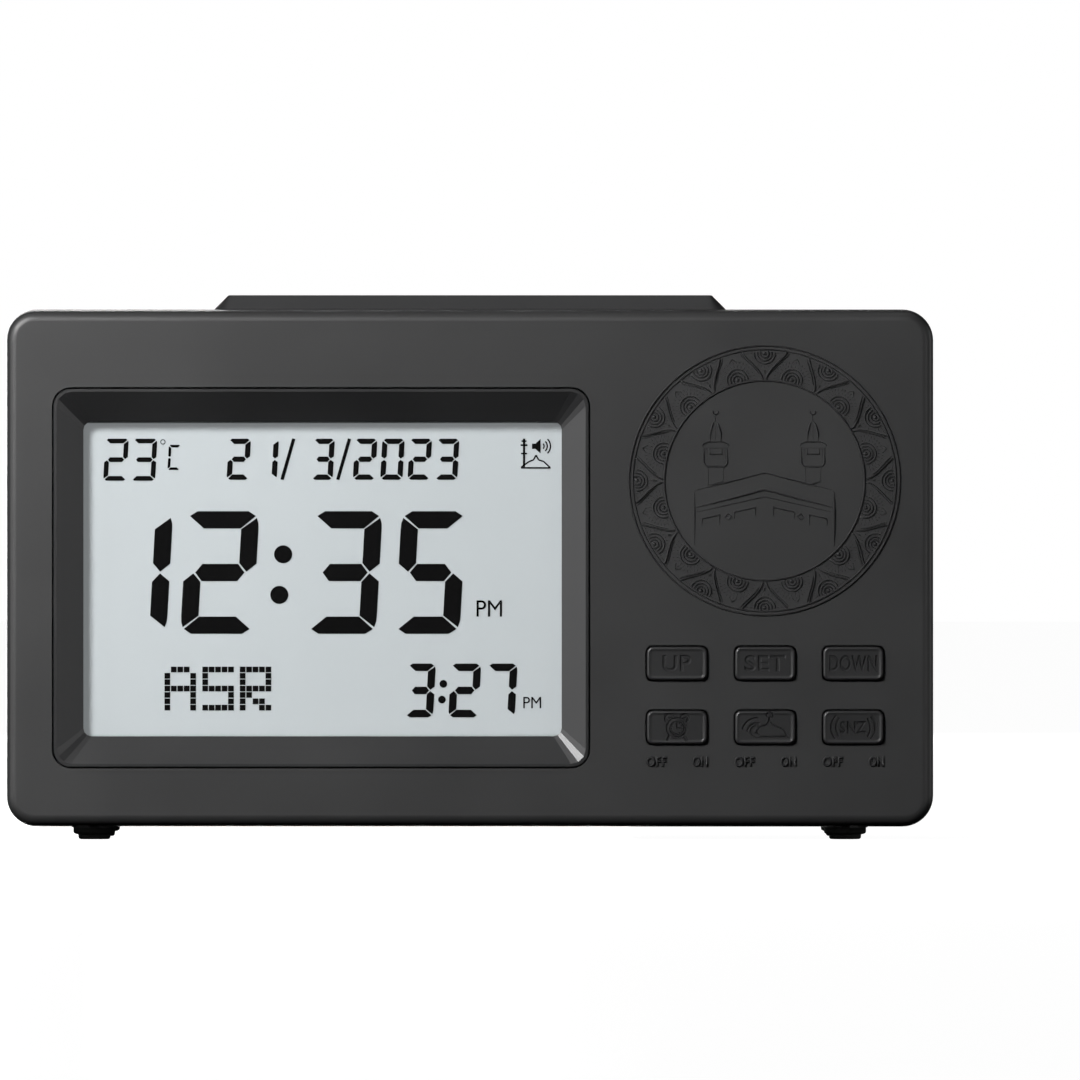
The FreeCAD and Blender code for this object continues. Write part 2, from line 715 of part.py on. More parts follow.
def display_nodes():
    save("display_bezel", bezel())
    save("display_window", glass_plate(GLASS_H, WINDOW_DEPTH, WINDOW_T))
    save("lcd_front_polariser", glass_plate(REAR_GLASS_H, FRONT_POLARISER_DEPTH, POLARISER_T,
                                            POLARISER_EDGE))
    save("lcd_glass_front", glass_plate(GLASS_H, GLASS_DEPTH, GLASS_T))
    save("lcd_glass_rear", glass_plate(REAR_GLASS_H, REAR_GLASS_DEPTH, GLASS_T))
    save("lcd_rear_polariser", glass_plate(REAR_GLASS_H, REAR_POLARISER_DEPTH, POLARISER_T,
                                           POLARISER_EDGE))
    guide = centred_block(VIEW_X, VIEW_Z, GUIDE_W, GUIDE_H, GUIDE_DEPTH, GUIDE_DEPTH + GUIDE_T)
    save("backlight_guide", guide)
    save("backlight_leds", [led_block(z, 0) for z in led_places()])
    save("lcd_holder", lcd_holder())
    strips = [zebra_block(side, 0, REAR_GLASS_DEPTH, MAIN_BOARD_DEPTH) for side in (-1, 1)]
    save("zebra_strips", strips)


# Boards and what stands on them

def screw(x, z, radius, head_r, head_h, seat, bite):
    """Pan-head screw along Y. The head lies behind the seat and the shank goes forwards."""
    return fused([drum(x, z, head_r, seat, seat + head_h), drum(x, z, radius, seat - bite, seat + 0.1)])


def screw_holes(places, depth0, depth1):
    return [drum(x, z, BOARD_SCREW_R + 0.2, depth0, depth1) for x, z in places]


def main_board():
    board = centred_block(BEZEL_X, BEZEL_Z, MAIN_BOARD_W, MAIN_BOARD_H, MAIN_BOARD_DEPTH, MAIN_BACK)
    return cut_all(board, screw_holes(main_screws(), MAIN_BOARD_DEPTH - 1, MAIN_BACK + 1))


def key_board():
    """Board behind the keys, notched round the case post at its corner."""
    board = centred_block(KEY_X, key_rows_z(), KEY_BOARD_W, KEY_BOARD_H, KEY_BOARD_DEPTH, KEY_BACK)
    tools = screw_holes(key_screws(), KEY_BOARD_DEPTH - 1, KEY_BACK + 1)
    for x, z in case_posts():
        tools.append(drum(x, z, POST_R + POST_CLEAR, KEY_BOARD_DEPTH - 1, KEY_BACK + 1))
    return cut_all(board, tools)


def dome(x, z, radius, height, depth):
    """Low dome, as two steps of taper."""
    lower = tapered_drum(x, z, radius, depth, radius * 0.87, depth + height * 0.5)
    upper = tapered_drum(x, z, radius * 0.87, depth + height * 0.5, radius * 0.5, depth + height)
    return fused([lower, upper])


def chips():
    """Amplifier and voice memory, and the small parts round them, on the rear of the main board."""
    amplifier = centred_block(BEZEL_X + 22, BEZEL_Z + 10, 4.0, 5.0, MAIN_BACK, MAIN_BACK + 1.5)
    memory = centred_block(BEZEL_X - 20, BEZEL_Z - 2, 5.3, 5.3, MAIN_BACK, MAIN_BACK + 1.8)
    return [amplifier, memory]


def passives():
    small = []
    for i in range(5):
        x = BEZEL_X - 9 + i * 4.5
        small.append(centred_block(x, BEZEL_Z + 12, 1.2, 2.0, MAIN_BACK, MAIN_BACK + 0.6))
        small.append(centred_block(x, BEZEL_Z - 14, 1.2, 2.0, MAIN_BACK, MAIN_BACK + 0.6))
    return small


def capacitor(x, z):
    return drum(x, z, 2.5, MAIN_BACK, MAIN_BACK + 7, FINE_SIDES)


def crystal():
    """Can of the clock crystal, lying along Z on the board."""
    x = BEZEL_X + 12
    return upright_drum(x, FACE_Y + MAIN_BACK + 1.0, 1.0, BEZEL_Z - 4, BEZEL_Z + 2)


def thermistor():
    """Bead of the room temperature sensor near the lower edge of the board."""
    x = BEZEL_X - 12
    z = BEZEL_Z - MAIN_BOARD_H / 2 + 4
    return fused([drum(x, z, 0.5, MAIN_BACK, MAIN_BACK + 3), dome(x, z, 1.2, 1.6, MAIN_BACK + 2.6)])


def sockets():
    made = [centred_block(x, z, SOCKET_W, SOCKET_H, MAIN_BACK, MAIN_BACK + SOCKET_T)
            for x, z in (BATTERY_SOCKET, SPEAKER_SOCKET, SNOOZE_SOCKET)]
    x, z = RIBBON_SOCKET
    made.append(centred_block(x, z, SOCKET_H, RIBBON_W + 2, MAIN_BACK, MAIN_BACK + SOCKET_T))
    x = KEY_X - KEY_BOARD_W / 2 + SOCKET_H / 2
    made.append(centred_block(x, z, SOCKET_H, RIBBON_W + 2, KEY_BACK, KEY_BACK + SOCKET_T))
    return made


def key_ribbon():
    """Flat cable from the key board to the main board, bowed to the rear."""
    start_x = KEY_X - KEY_BOARD_W / 2 + SOCKET_H / 2
    end_x, z = RIBBON_SOCKET
    start = KEY_BACK + SOCKET_T
    end = MAIN_BACK + SOCKET_T
    bow = end + 7.0
    route = [at(start_x, start, z), at(start_x, bow, z), at(end_x, bow, z), at(end_x, end, z)]
    return lead(route, RIBBON_W, 0.7, Vector(0, 0, 1))


def battery_lead():
    """From the contact tags on the left of the bay forwards to the main board."""
    x, z = BATTERY_SOCKET
    start_x = BAY_X - BAY_W / 2 - TUB_WALL - LEAD_T / 2
    end = MAIN_BACK + SOCKET_T
    turn = end + 6.0
    route = [at(start_x, CELL_DEPTH, z), at(start_x, turn, z), at(x, turn, z), at(x, end, z)]
    return lead(route, LEAD_W, LEAD_T, Vector(0, 0, 1))


def speaker_lead():
    x, z = SPEAKER_SOCKET
    start_x = SPEAKER_X - (SPEAKER_R + CONE_R + BASKET_T) / 2
    end = MAIN_BACK + SOCKET_T
    turn = end + 7.0
    route = [at(start_x, SPEAKER_SEAT, z), at(start_x, turn, z), at(x, turn, z), at(x, end, z)]
    return lead(route, LEAD_W, LEAD_T * 0.6, Vector(0, 0, 1))


def snooze_lead():
    """From the underside of the snooze board down and forwards to the main board."""
    x, z = SNOOZE_SOCKET
    top = SNOOZE_BOARD_Z - BOARD_T
    route = [at(x, BAR_DEPTH, top), at(x, BAR_DEPTH, z), at(x, MAIN_BACK + SOCKET_T, z)]
    return lead(route, LEAD_W, LEAD_T, Vector(1, 0, 0))


def board_screws():
    head = (BOARD_SCREW_R, BOARD_SCREW_HEAD_R, BOARD_SCREW_HEAD_H)
    made = [screw(x, z, *head, MAIN_BACK, BOARD_T + BOARD_SCREW_BITE) for x, z in main_screws()]
    made += [screw(x, z, *head, KEY_BACK, BOARD_T + BOARD_SCREW_BITE) for x, z in key_screws()]
    return made


def snooze_screws():
    made = []
    seat = SNOOZE_BOARD_Z - BOARD_T
    for sx in (-1, 1):
        x = sx * SNOOZE_BOSS_X
        made.append(fused([upright_drum(x, BAR_Y, BOARD_SCREW_HEAD_R, seat - BOARD_SCREW_HEAD_H, seat),
                           upright_drum(x, BAR_Y, BOARD_SCREW_R, seat - 0.1,
                                        SNOOZE_BOARD_Z + BOARD_SCREW_BITE - 1)]))
    return made


def board_nodes():
    save("main_board", main_board())
    save("key_board", key_board())
    save("clock_chip", dome(BEZEL_X, BEZEL_Z, 7.0, 1.8, MAIN_BACK))
    save("amplifier_and_memory", chips())
    save("board_passives", passives())
    save("capacitors", [capacitor(BEZEL_X + 25, BEZEL_Z - 4), capacitor(BEZEL_X + 25, BEZEL_Z + 20)])
    save("clock_crystal", crystal())
    save("temperature_sensor", thermistor())
    save("wire_sockets", sockets())
    save("key_ribbon", key_ribbon())
    save("battery_lead", battery_lead())
    save("speaker_lead", speaker_lead())
    save("snooze_lead", snooze_lead())
    save("board_screws", board_screws())
    save("snooze_screws", snooze_screws())


# Keys

def key_solid(x, z):
    """Key cap with the flange that keeps it behind the wall and the stem that presses the switch."""
    width, height = KEY_HOLE_W - 2 * KEY_GAP, KEY_HOLE_H - 2 * KEY_GAP
    flange_depth = WALL + RUN_GAP
    radius = KEY_R - KEY_GAP / 2
    side = corner_points(x, z, width, height, radius, KEY_CHAMFER - KEY_PROUD)
    front = corner_points(x, z, width - 2 * KEY_CHAMFER, height - 2 * KEY_CHAMFER, radius - KEY_CHAMFER,
                          -KEY_PROUD)
    cap = facet(side).extrude(Vector(0, flange_depth + KEY_FLANGE_T + KEY_PROUD - KEY_CHAMFER, 0))
    flange = centred_block(x, z, width + 2 * KEY_FLANGE, height + 2 * KEY_FLANGE,
                           flange_depth, flange_depth + KEY_FLANGE_T)
    stem = centred_block(x, z, 2 * KEY_STEM_R, 2 * KEY_STEM_R, flange_depth,
                         KEY_BOARD_DEPTH - SWITCH_H - PLUNGER_H)
    return fused([cap, skinned(front, side), flange, stem])


def switch_bodies():
    """Square switch bodies on the front of the key board, each with a bore for its plunger."""
    made = []
    for name, column, row in KEYS:
        x, z = key_place(column, row)
        front = KEY_BOARD_DEPTH - SWITCH_H
        body = centred_block(x, z, SWITCH_W, SWITCH_W, front, KEY_BOARD_DEPTH)
        made.append(body.cut(drum(x, z, PLUNGER_R + RUN_GAP, front - 1, KEY_BOARD_DEPTH - SWITCH_FLOOR)))
    return made


def key_nodes():
    for name, column, row in KEYS:
        x, z = key_place(column, row)
        front = KEY_BOARD_DEPTH - SWITCH_H
        save(name, key_solid(x, z))
        save(name + "_plunger", drum(x, z, PLUNGER_R, front - PLUNGER_H, front + PLUNGER_IN))
    save("key_switches", switch_bodies())


# Snooze bar

def bar_outline(z, inset):
    half_w = BAR_W / 2 - inset
    half_d = BAR_D / 2 - inset
    return rounded_wire(-half_w, half_w, BAR_Y - half_d, BAR_Y + half_d, max(BAR_R - inset, 0.6), level(z))


def raised(wire, height):
    return Part.Face(wire).extrude(Vector(0, 0, height))


def snooze_bar():
    """Hollow bar with sloped ends, a skirt through the case and a flange under its wall."""
    top = BODY_TOP + BAR_H
    flange_top = BODY_TOP - case_inset(BAR_DEPTH + BAR_D / 2 + BAR_FLANGE) - WALL - RUN_GAP
    flange_low = flange_top - BAR_FLANGE_T
    crown = Part.makeLoft([bar_outline(BODY_TOP, 0), bar_outline(top, BAR_SLOPE)], True, True)
    crown = crown.makeFillet(BAR_EDGE_R, edges_in_plane(crown, 2, top))
    skirt = raised(bar_outline(flange_low, 0), BODY_TOP - flange_low)
    flange = raised(bar_outline(flange_low, -BAR_FLANGE), BAR_FLANGE_T)
    hollow = raised(bar_outline(flange_low - 1, BAR_WALL), BODY_TOP + 0.6 - flange_low)
    bar = fused([crown, skirt, flange]).cut(hollow)
    stems = []
    stem_low = SNOOZE_BOARD_Z + SWITCH_H + PLUNGER_H
    for sx in (-1, 1):
        x = sx * SNOOZE_SWITCH_X
        stems.append(upright_drum(x, BAR_Y, KEY_STEM_R, stem_low, BODY_TOP))
        rib = block(x - 0.6, x + 0.6, BAR_DEPTH - BAR_D / 2 + 0.8, BAR_DEPTH + BAR_D / 2 - 0.8,
                    flange_low, BODY_TOP)
        stems.append(rib)
    return fused([bar] + stems)


def snooze_switch(x):
    low = SNOOZE_BOARD_Z
    half = SWITCH_W / 2
    body = block(x - half, x + half, BAR_DEPTH - half, BAR_DEPTH + half, low, low + SWITCH_H)
    return body.cut(upright_drum(x, BAR_Y, PLUNGER_R + RUN_GAP, low + SWITCH_FLOOR, low + SWITCH_H + 1))


def snooze_board():
    board = block(-SNOOZE_BOARD_W / 2, SNOOZE_BOARD_W / 2, BAR_DEPTH - SNOOZE_BOARD_D / 2,
                  BAR_DEPTH + SNOOZE_BOARD_D / 2, SNOOZE_BOARD_Z - BOARD_T, SNOOZE_BOARD_Z)
    for sx in (-1, 1):
        board = board.cut(upright_drum(sx * SNOOZE_BOSS_X, BAR_Y, BOARD_SCREW_R + 0.2,
                               SNOOZE_BOARD_Z - BOARD_T - 1, SNOOZE_BOARD_Z + 1))
    return board


def snooze_nodes():
    save("snooze_bar", snooze_bar())
    low = SNOOZE_BOARD_Z + SWITCH_H - PLUNGER_IN
    plungers = [upright_drum(sx * SNOOZE_SWITCH_X, BAR_Y, PLUNGER_R, low, low + PLUNGER_IN + PLUNGER_H)
                for sx in (-1, 1)]
    save("snooze_plungers", plungers)
    save("snooze_switches", [snooze_switch(sx * SNOOZE_SWITCH_X) for sx in (-1, 1)])
    save("snooze_board", snooze_board())


# Battery bay

def cell_rows():
    """Heights of the cells and which way their nibs point."""
    return [(BAY_Z + (i - 1) * CELL_PITCH, 1 if i % 2 == 0 else -1) for i in range(3)]


def along_x(x0, x1, radius, z, sides):
    """Many-sided bar along X in the middle of the cells."""
    low = min(x0, x1)
    points = []
    for i in range(sides):
        angle = 2 * math.pi * i / sides
        points.append(at(low, CELL_DEPTH + radius * math.cos(angle), z + radius * math.sin(angle)))
    return facet(points).extrude(Vector(abs(x1 - x0), 0, 0))


def nib_wall(way):
    """Face of the plate that a nib rests on."""
    return BAY_X + way * (BAY_W / 2 - PLATE_T)


def cell(z, way):
    nib_end = nib_wall(way)
    shoulder = nib_end - way * NIB_L
    return fused([along_x(shoulder, nib_end, NIB_R, z, SIDES),
                  along_x(shoulder - way * CELL_L, shoulder, CELL_R, z, FINE_SIDES)])


def plate(z, way):
    wall = BAY_X + way * BAY_W / 2
    x0, x1 = sorted((wall, wall - way * PLATE_T))
    return block(x0, x1, CELL_DEPTH - PLATE_W / 2, CELL_DEPTH + PLATE_W / 2, z - PLATE_W / 2, z + PLATE_W / 2)


def leaf(z, way):
    """Bent strip on a plate that presses on the flat end of a cell. way points to that end wall."""
    wall = BAY_X + way * (BAY_W / 2 - PLATE_T)
    tip = nib_wall(-way) + way * (NIB_L + CELL_L)
    back = wall + way * PLATE_T / 2
    half = LEAF_SPAN / 2
    low = z - LEAF_W / 2
    flat = LEAF_W / 4
    points = [
        at(back, CELL_DEPTH - half, low),
        at(tip, CELL_DEPTH - flat, low),
        at(tip, CELL_DEPTH + flat, low),
        at(back, CELL_DEPTH + half, low),
        at(back, CELL_DEPTH + half - LEAF_T, low),
        at(tip + way * LEAF_T, CELL_DEPTH + flat - LEAF_T, low),
        at(tip + way * LEAF_T, CELL_DEPTH - flat + LEAF_T, low),
        at(back, CELL_DEPTH - half + LEAF_T, low),
    ]
    strip = facet(points).extrude(Vector(0, 0, LEAF_W))
    return fused([plate(z, way), strip])


def door_tab(side):
    """Foot of the door that reaches under the rear wall and turns there."""
    x = BAY_X + side * TAB_DX
    rear = CASE_DEPTH - WALL - 0.2
    low = DOOR_LOW - TAB_DROP
    inner = DOOR_LOW + 2 * DOOR_GAP
    foot = block(x - TAB_W / 2, x + TAB_W / 2, rear - TAB_T, rear, low, inner + TAB_T)
    arm = block(x - TAB_W / 2, x + TAB_W / 2, rear - TAB_T, CASE_DEPTH - DOOR_T + 0.1,
                DOOR_LOW + 0.1, inner + TAB_T)
    return foot.fuse(arm)


def latch_profile():
    """Section of the bent spring tongue at the top of the door, as (depth, z) points."""
    top = BAY_Z + BAY_H / 2 - LATCH_GAP
    low = top - 2 * LATCH_T - LATCH_GAP
    inner = CASE_DEPTH - DOOR_T - LATCH_REACH
    skin = CASE_DEPTH - DOOR_T
    return [(skin + 0.1, low), (inner, low), (inner, top), (CASE_DEPTH - 0.4, top),
            (CASE_DEPTH - 0.4, top - LATCH_T), (inner + LATCH_T, top - LATCH_T),
            (inner + LATCH_T, low + LATCH_T), (skin + 0.1, low + LATCH_T)]


def latch():
    x = BAY_X - LATCH_W / 2
    points = [at(x, depth, z) for depth, z in latch_profile()]
    return facet(points).extrude(Vector(LATCH_W, 0, 0))


def battery_door():
    """Door with a rolled lower edge that it turns on, two tabs under the wall and a latch."""
    width = BAY_W + 2 * (DOOR_EDGE - DOOR_GAP)
    height = DOOR_HIGH - DOOR_LOW
    panel = slab(BAY_X, (DOOR_LOW + DOOR_HIGH) / 2, width, height, DOOR_R - DOOR_GAP,
                 CASE_DEPTH - DOOR_T, CASE_DEPTH)
    top = BAY_Z + BAY_H / 2 - LATCH_GAP
    mouth = block(BAY_X - LATCH_W / 2 - DOOR_GAP, BAY_X + LATCH_W / 2 + DOOR_GAP,
                  CASE_DEPTH - DOOR_T - 1, CASE_DEPTH + 1, top - LATCH_T - DOOR_GAP, DOOR_HIGH + 1)
    below = centred_block(BAY_X, DOOR_LOW, width + 1, 2 * HINGE_R, CASE_DEPTH - DOOR_T - 1, CASE_DEPTH + 1)
    panel = cut_all(panel, [mouth, below])
    for side in (-1, 1):
        panel = panel.cut(centred_block(BAY_X + side * width / 2, DOOR_LOW, 2 * DOOR_R, 2 * DOOR_R,
                                        CASE_DEPTH - DOOR_T - 1, CASE_DEPTH + 1))
    reach = width / 2 - DOOR_R
    nose = Part.makeCylinder(HINGE_R, 2 * reach, at(BAY_X - reach, CASE_DEPTH - HINGE_R, DOOR_LOW + HINGE_R),
                             Vector(1, 0, 0))
    door = fused([panel, nose, latch(), door_tab(-1), door_tab(1)])
    grips = []
    for i in range(4):
        z = DOOR_HIGH - 7 - i * 1.8
        grips.append(block(BAY_X - LATCH_W / 2, BAY_X + LATCH_W / 2, CASE_DEPTH - 0.4, CASE_DEPTH + 1, z, z + 0.8))
    return cut_all(door, grips)


def battery_nodes():
    save("battery_door", battery_door())
    save("battery_cells", [cell(z, way) for z, way in cell_rows()])
    save("battery_plates", [plate(z, way) for z, way in cell_rows()])
    save("battery_leaf_springs", [leaf(z, -way) for z, way in cell_rows()])


# Speaker

def speaker_ring(radius, inner, depth0, depth1):
    band = drum(SPEAKER_X, SPEAKER_Z, radius, depth0, depth1, FINE_SIDES)
    return band.cut(drum(SPEAKER_X, SPEAKER_Z, inner, depth0 - 1, depth1 + 1, FINE_SIDES))


def dish(rim_r, rim_depth, floor_r, floor_depth, thick):
    """Open dish with a flat floor, its wall tapered from the rim to the floor."""
    outer = tapered_drum(SPEAKER_X, SPEAKER_Z, floor_r, floor_depth, rim_r, rim_depth)
    inner = tapered_drum(SPEAKER_X, SPEAKER_Z, floor_r - thick, floor_depth + thick, rim_r - thick,
                         rim_depth + 0.01)
    return outer.cut(inner).removeSplitter()


def speaker_nodes():
    seat = SPEAKER_SEAT
    flange_rear = seat + SPEAKER_FLANGE_T
    root = seat - BASKET_DEPTH
    basket = dish(CONE_R + BASKET_T, flange_rear, MAGNET_R, root, BASKET_T)
    flange = speaker_ring(SPEAKER_R, CONE_R, seat, flange_rear)
    save("speaker_basket", fused([basket, flange]))
    save("speaker_magnet", drum(SPEAKER_X, SPEAKER_Z, MAGNET_R, root - MAGNET_T, root, FINE_SIDES))
    cone_floor = root + BASKET_DEPTH * 0.4
    save("speaker_cone", dish(CONE_R - 0.2, flange_rear, DUST_CAP_R + 1, cone_floor, 0.4))
    save("speaker_dust_cap", dome(SPEAKER_X, SPEAKER_Z, DUST_CAP_R, 2.0, cone_floor + 0.4))
    save("speaker_gasket", speaker_ring(SPEAKER_R, CONE_R, flange_rear, flange_rear + GASKET_T))
    screws = []
    for x, z in speaker_screws():
        screws.append(fused([drum(x, z, SPEAKER_SCREW_HEAD_R, seat - BOARD_SCREW_HEAD_H, seat),
                             drum(x, z, BOARD_SCREW_R, seat - 0.1, seat + SPEAKER_SCREW_BITE)]))
    save("speaker_screws", screws)


# Feet and case screws

def foot(x, depth):
    y = FACE_Y + depth
    return fused([upright_drum(x, y, FOOT_PAD_R, 0, FOOT_PAD_H, FINE_SIDES),
                  upright_drum(x, y, FOOT_FLANGE_R, FOOT_PAD_H, FOOT_H, FINE_SIDES),
                  upright_drum(x, y, FOOT_STEM_R - PILOT_CLEAR, FOOT_H - 0.1, FOOT_H + WALL + FRONT_DRAFT)])


def fastening_nodes():
    save("rubber_feet", [foot(x, depth) for x, depth in foot_places()])
    reach = WELL_SEAT - FRONT_DEPTH + SCREW_BITE
    save("case_screws", [screw(x, z, SCREW_R, SCREW_HEAD_R, SCREW_HEAD_H, WELL_SEAT, reach)
                         for x, z in case_posts()])


# Relief ornament

def ring_band(outer, inner, height):
    band = drum(RING_X, RING_Z, outer, -height, 0, RING_SIDES)
    return band.cut(drum(RING_X, RING_Z, inner, -height - 1, 1, RING_SIDES))


def polar(radius, turn):
    """Point on the face at a radius and a share of a full turn, counted clockwise from the top."""
    angle = 2 * math.pi * turn
    return at(RING_X + radius * math.sin(angle), 0, RING_Z + radius * math.cos(angle))


def zigzag(shift):
    """Ridge that weaves between the rims, one outer and one inner turn to each lobe."""
    outer = RING_R - 1.6
    inner = RING_INNER_R + 1.6
    points = []
    for i in range(2 * LOBES):
        radius = (inner if i % 2 == 0 else outer) + shift
        points.append(polar(radius, i / (2 * LOBES)))
    return facet(points).extrude(Vector(0, -RELIEF, 0))


def corner_building():
    """Plain cube-shaped building seen over its corner, with two bands and two towers behind."""
    half = 11.3
    drop = 3.1
    top = 1.25
    low = -10.6
    parts = []
    for rise, fall, width in ((top, 0.4, half), (top - 2.6, 0.4, half), (top - 3.8, 0.4, half - 0.5)):
        points = [at(RING_X, 0, RING_Z + rise), at(RING_X + width, 0, RING_Z + rise - drop),
                  at(RING_X + width, 0, RING_Z + rise - drop - fall), at(RING_X, 0, RING_Z + rise - fall),
                  at(RING_X - width, 0, RING_Z + rise - drop - fall), at(RING_X - width, 0, RING_Z + rise - drop)]
        parts.append(facet(points).extrude(Vector(0, -RELIEF, 0)))
    for side in (-1, 1):
        x = RING_X + side * half
        parts.append(block(x - 0.2, x + 0.2, -RELIEF, 0, RING_Z + low, RING_Z + top - drop))
    for side in (-1, 1):
        x = RING_X + side * 7.75
        parts.append(block(x - 1.2, x + 1.2, -RELIEF, 0, RING_Z - 1.0, RING_Z + 2.2))
        parts.append(block(x - 2.0, x + 2.0, -RELIEF, 0, RING_Z + 2.4, RING_Z + 6.0))
        parts.append(block(x - 0.95, x + 0.95, -RELIEF, 0, RING_Z + 6.2, RING_Z + 9.0))
        parts.append(block(x - 0.25, x + 0.25, -RELIEF, 0, RING_Z + 9.0, RING_Z + 11.5))
    return parts


def relief_node():
    parts = [ring_band(RING_R, RING_R - RIM_W, RELIEF), ring_band(RING_INNER_R + RIM_W, RING_INNER_R, RELIEF)]
    parts.append(zigzag(RIDGE_W).cut(zigzag(-RIDGE_W)))
    save("face_ornament", parts + corner_building())


os.makedirs("parts", exist_ok=True)
save("front_case", front_case())
save("rear_case", rear_case())
display_nodes()
board_nodes()
key_nodes()
snooze_nodes()
battery_nodes()
speaker_nodes()
fastening_nodes()
relief_node()
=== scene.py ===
import json
import math

import bmesh
import bpy
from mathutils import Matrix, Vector
from mathutils.geometry import tessellate_polygon


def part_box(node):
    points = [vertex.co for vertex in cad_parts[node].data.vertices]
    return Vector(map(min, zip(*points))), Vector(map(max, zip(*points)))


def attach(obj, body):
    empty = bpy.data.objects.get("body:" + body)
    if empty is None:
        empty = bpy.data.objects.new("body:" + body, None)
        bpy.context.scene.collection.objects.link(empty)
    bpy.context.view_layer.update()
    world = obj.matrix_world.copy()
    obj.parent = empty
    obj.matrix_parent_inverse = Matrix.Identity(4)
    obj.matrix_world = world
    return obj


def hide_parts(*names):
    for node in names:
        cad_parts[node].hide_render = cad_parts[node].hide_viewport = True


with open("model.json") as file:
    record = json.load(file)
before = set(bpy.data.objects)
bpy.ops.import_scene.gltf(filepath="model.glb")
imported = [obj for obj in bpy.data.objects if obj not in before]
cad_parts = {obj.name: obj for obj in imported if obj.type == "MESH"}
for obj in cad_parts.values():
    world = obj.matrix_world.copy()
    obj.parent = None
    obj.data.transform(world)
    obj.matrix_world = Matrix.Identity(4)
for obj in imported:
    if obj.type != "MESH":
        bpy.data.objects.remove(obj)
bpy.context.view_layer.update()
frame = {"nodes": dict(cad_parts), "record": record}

# The photograph's measures: pixels of its 1080 x 1080 frame to metres on the face plane
PX = 1 / 6210.0
PIXELS_UP = 6238.0
FRAME_SIDE = 1080
MIDDLE_X = 469.5
GROUND_Y = 841.2

FACE_Y = -0.0243
KEY_FRONT = -0.025
SENSOR_WIDTH = 36.0
CAMERA_DISTANCE = 3.0


def px(x):
    """Place across the object of a photograph pixel."""
    return (x - MIDDLE_X) * PX


def pz(y):
    """Height above the ground of a photograph pixel."""
    return (GROUND_Y - y) / PIXELS_UP


# Camera at the photograph's angle
lens_data = bpy.data.cameras.new("camera")
lens_data.sensor_width = SENSOR_WIDTH
lens_data.lens = SENSOR_WIDTH * CAMERA_DISTANCE / (FRAME_SIDE * PX)
lens_data.clip_start = 0.1
lens_data.clip_end = 30.0
camera = bpy.data.objects.new("camera", lens_data)
bpy.context.scene.collection.objects.link(camera)
camera.location = (px(FRAME_SIDE / 2), FACE_Y - CAMERA_DISTANCE, pz(FRAME_SIDE / 2))
camera.rotation_euler = (math.radians(90), 0, 0)
bpy.context.scene.camera = camera
bpy.context.scene.view_settings.view_transform = "Standard"


# Materials

def new_material(name):
    material = bpy.data.materials.new(name)
    material.use_nodes = True
    tree = material.node_tree
    shader = tree.nodes["Principled BSDF"]
    place = tree.nodes.new("ShaderNodeTexCoord")
    return material, tree, shader, place


def noise(tree, place, scale, detail, stretch=None):
    node = tree.nodes.new("ShaderNodeTexNoise")
    node.inputs["Scale"].default_value = scale
    node.inputs["Detail"].default_value = detail
    if stretch is None:
        tree.links.new(place.outputs["Object"], node.inputs["Vector"])
    else:
        mapping = tree.nodes.new("ShaderNodeMapping")
        mapping.inputs["Scale"].default_value = stretch
        tree.links.new(place.outputs["Object"], mapping.inputs["Vector"])
        tree.links.new(mapping.outputs["Vector"], node.inputs["Vector"])
    return node


def ramp(tree, source, low, high):
    node = tree.nodes.new("ShaderNodeValToRGB")
    node.color_ramp.elements[0].position = 0.3
    node.color_ramp.elements[0].color = (*low, 1)
    node.color_ramp.elements[1].position = 0.7
    node.color_ramp.elements[1].color = (*high, 1)
    tree.links.new(source, node.inputs["Fac"])
    return node


def spread(tree, source, low, high):
    node = tree.nodes.new("ShaderNodeMapRange")
    node.inputs["From Min"].default_value = 0.25
    node.inputs["From Max"].default_value = 0.75
    node.inputs["To Min"].default_value = low
    node.inputs["To Max"].default_value = high
    tree.links.new(source, node.inputs["Value"])
    return node


def add_bump(tree, shader, source, strength, distance):
    bump = tree.nodes.new("ShaderNodeBump")
    bump.inputs["Strength"].default_value = strength
    bump.inputs["Distance"].default_value = distance
    tree.links.new(source, bump.inputs["Height"])
    tree.links.new(bump.outputs["Normal"], shader.inputs["Normal"])


def finish_of(name, low, high, rough, patch=60.0, grain=4000.0, grain_h=0.02, metallic=0.0,
              specular=0.5, stretch=None, glow=None):
    """Colour drifts between two tones over patches, roughness follows, and fine grain gives bump. A given
    glow is painted light: emission that keeps the surface bright whatever light falls on it.
    """
    material, tree, shader, place = new_material(name)
    wide = noise(tree, place, patch, 4.0, stretch)
    fine = noise(tree, place, grain, 2.0, stretch)
    colour = ramp(tree, wide.outputs["Fac"], low, high)
    tree.links.new(colour.outputs["Color"], shader.inputs["Base Color"])
    tone = spread(tree, wide.outputs["Fac"], rough[0], rough[1])
    tree.links.new(tone.outputs["Result"], shader.inputs["Roughness"])
    add_bump(tree, shader, fine.outputs["Fac"], grain_h, 0.00002)
    shader.inputs["Metallic"].default_value = metallic
    shader.inputs["Specular IOR Level"].default_value = specular
    if glow:
        shader.inputs["Emission Color"].default_value = (*glow[0], 1)
        shader.inputs["Emission Strength"].default_value = glow[1]
    return material


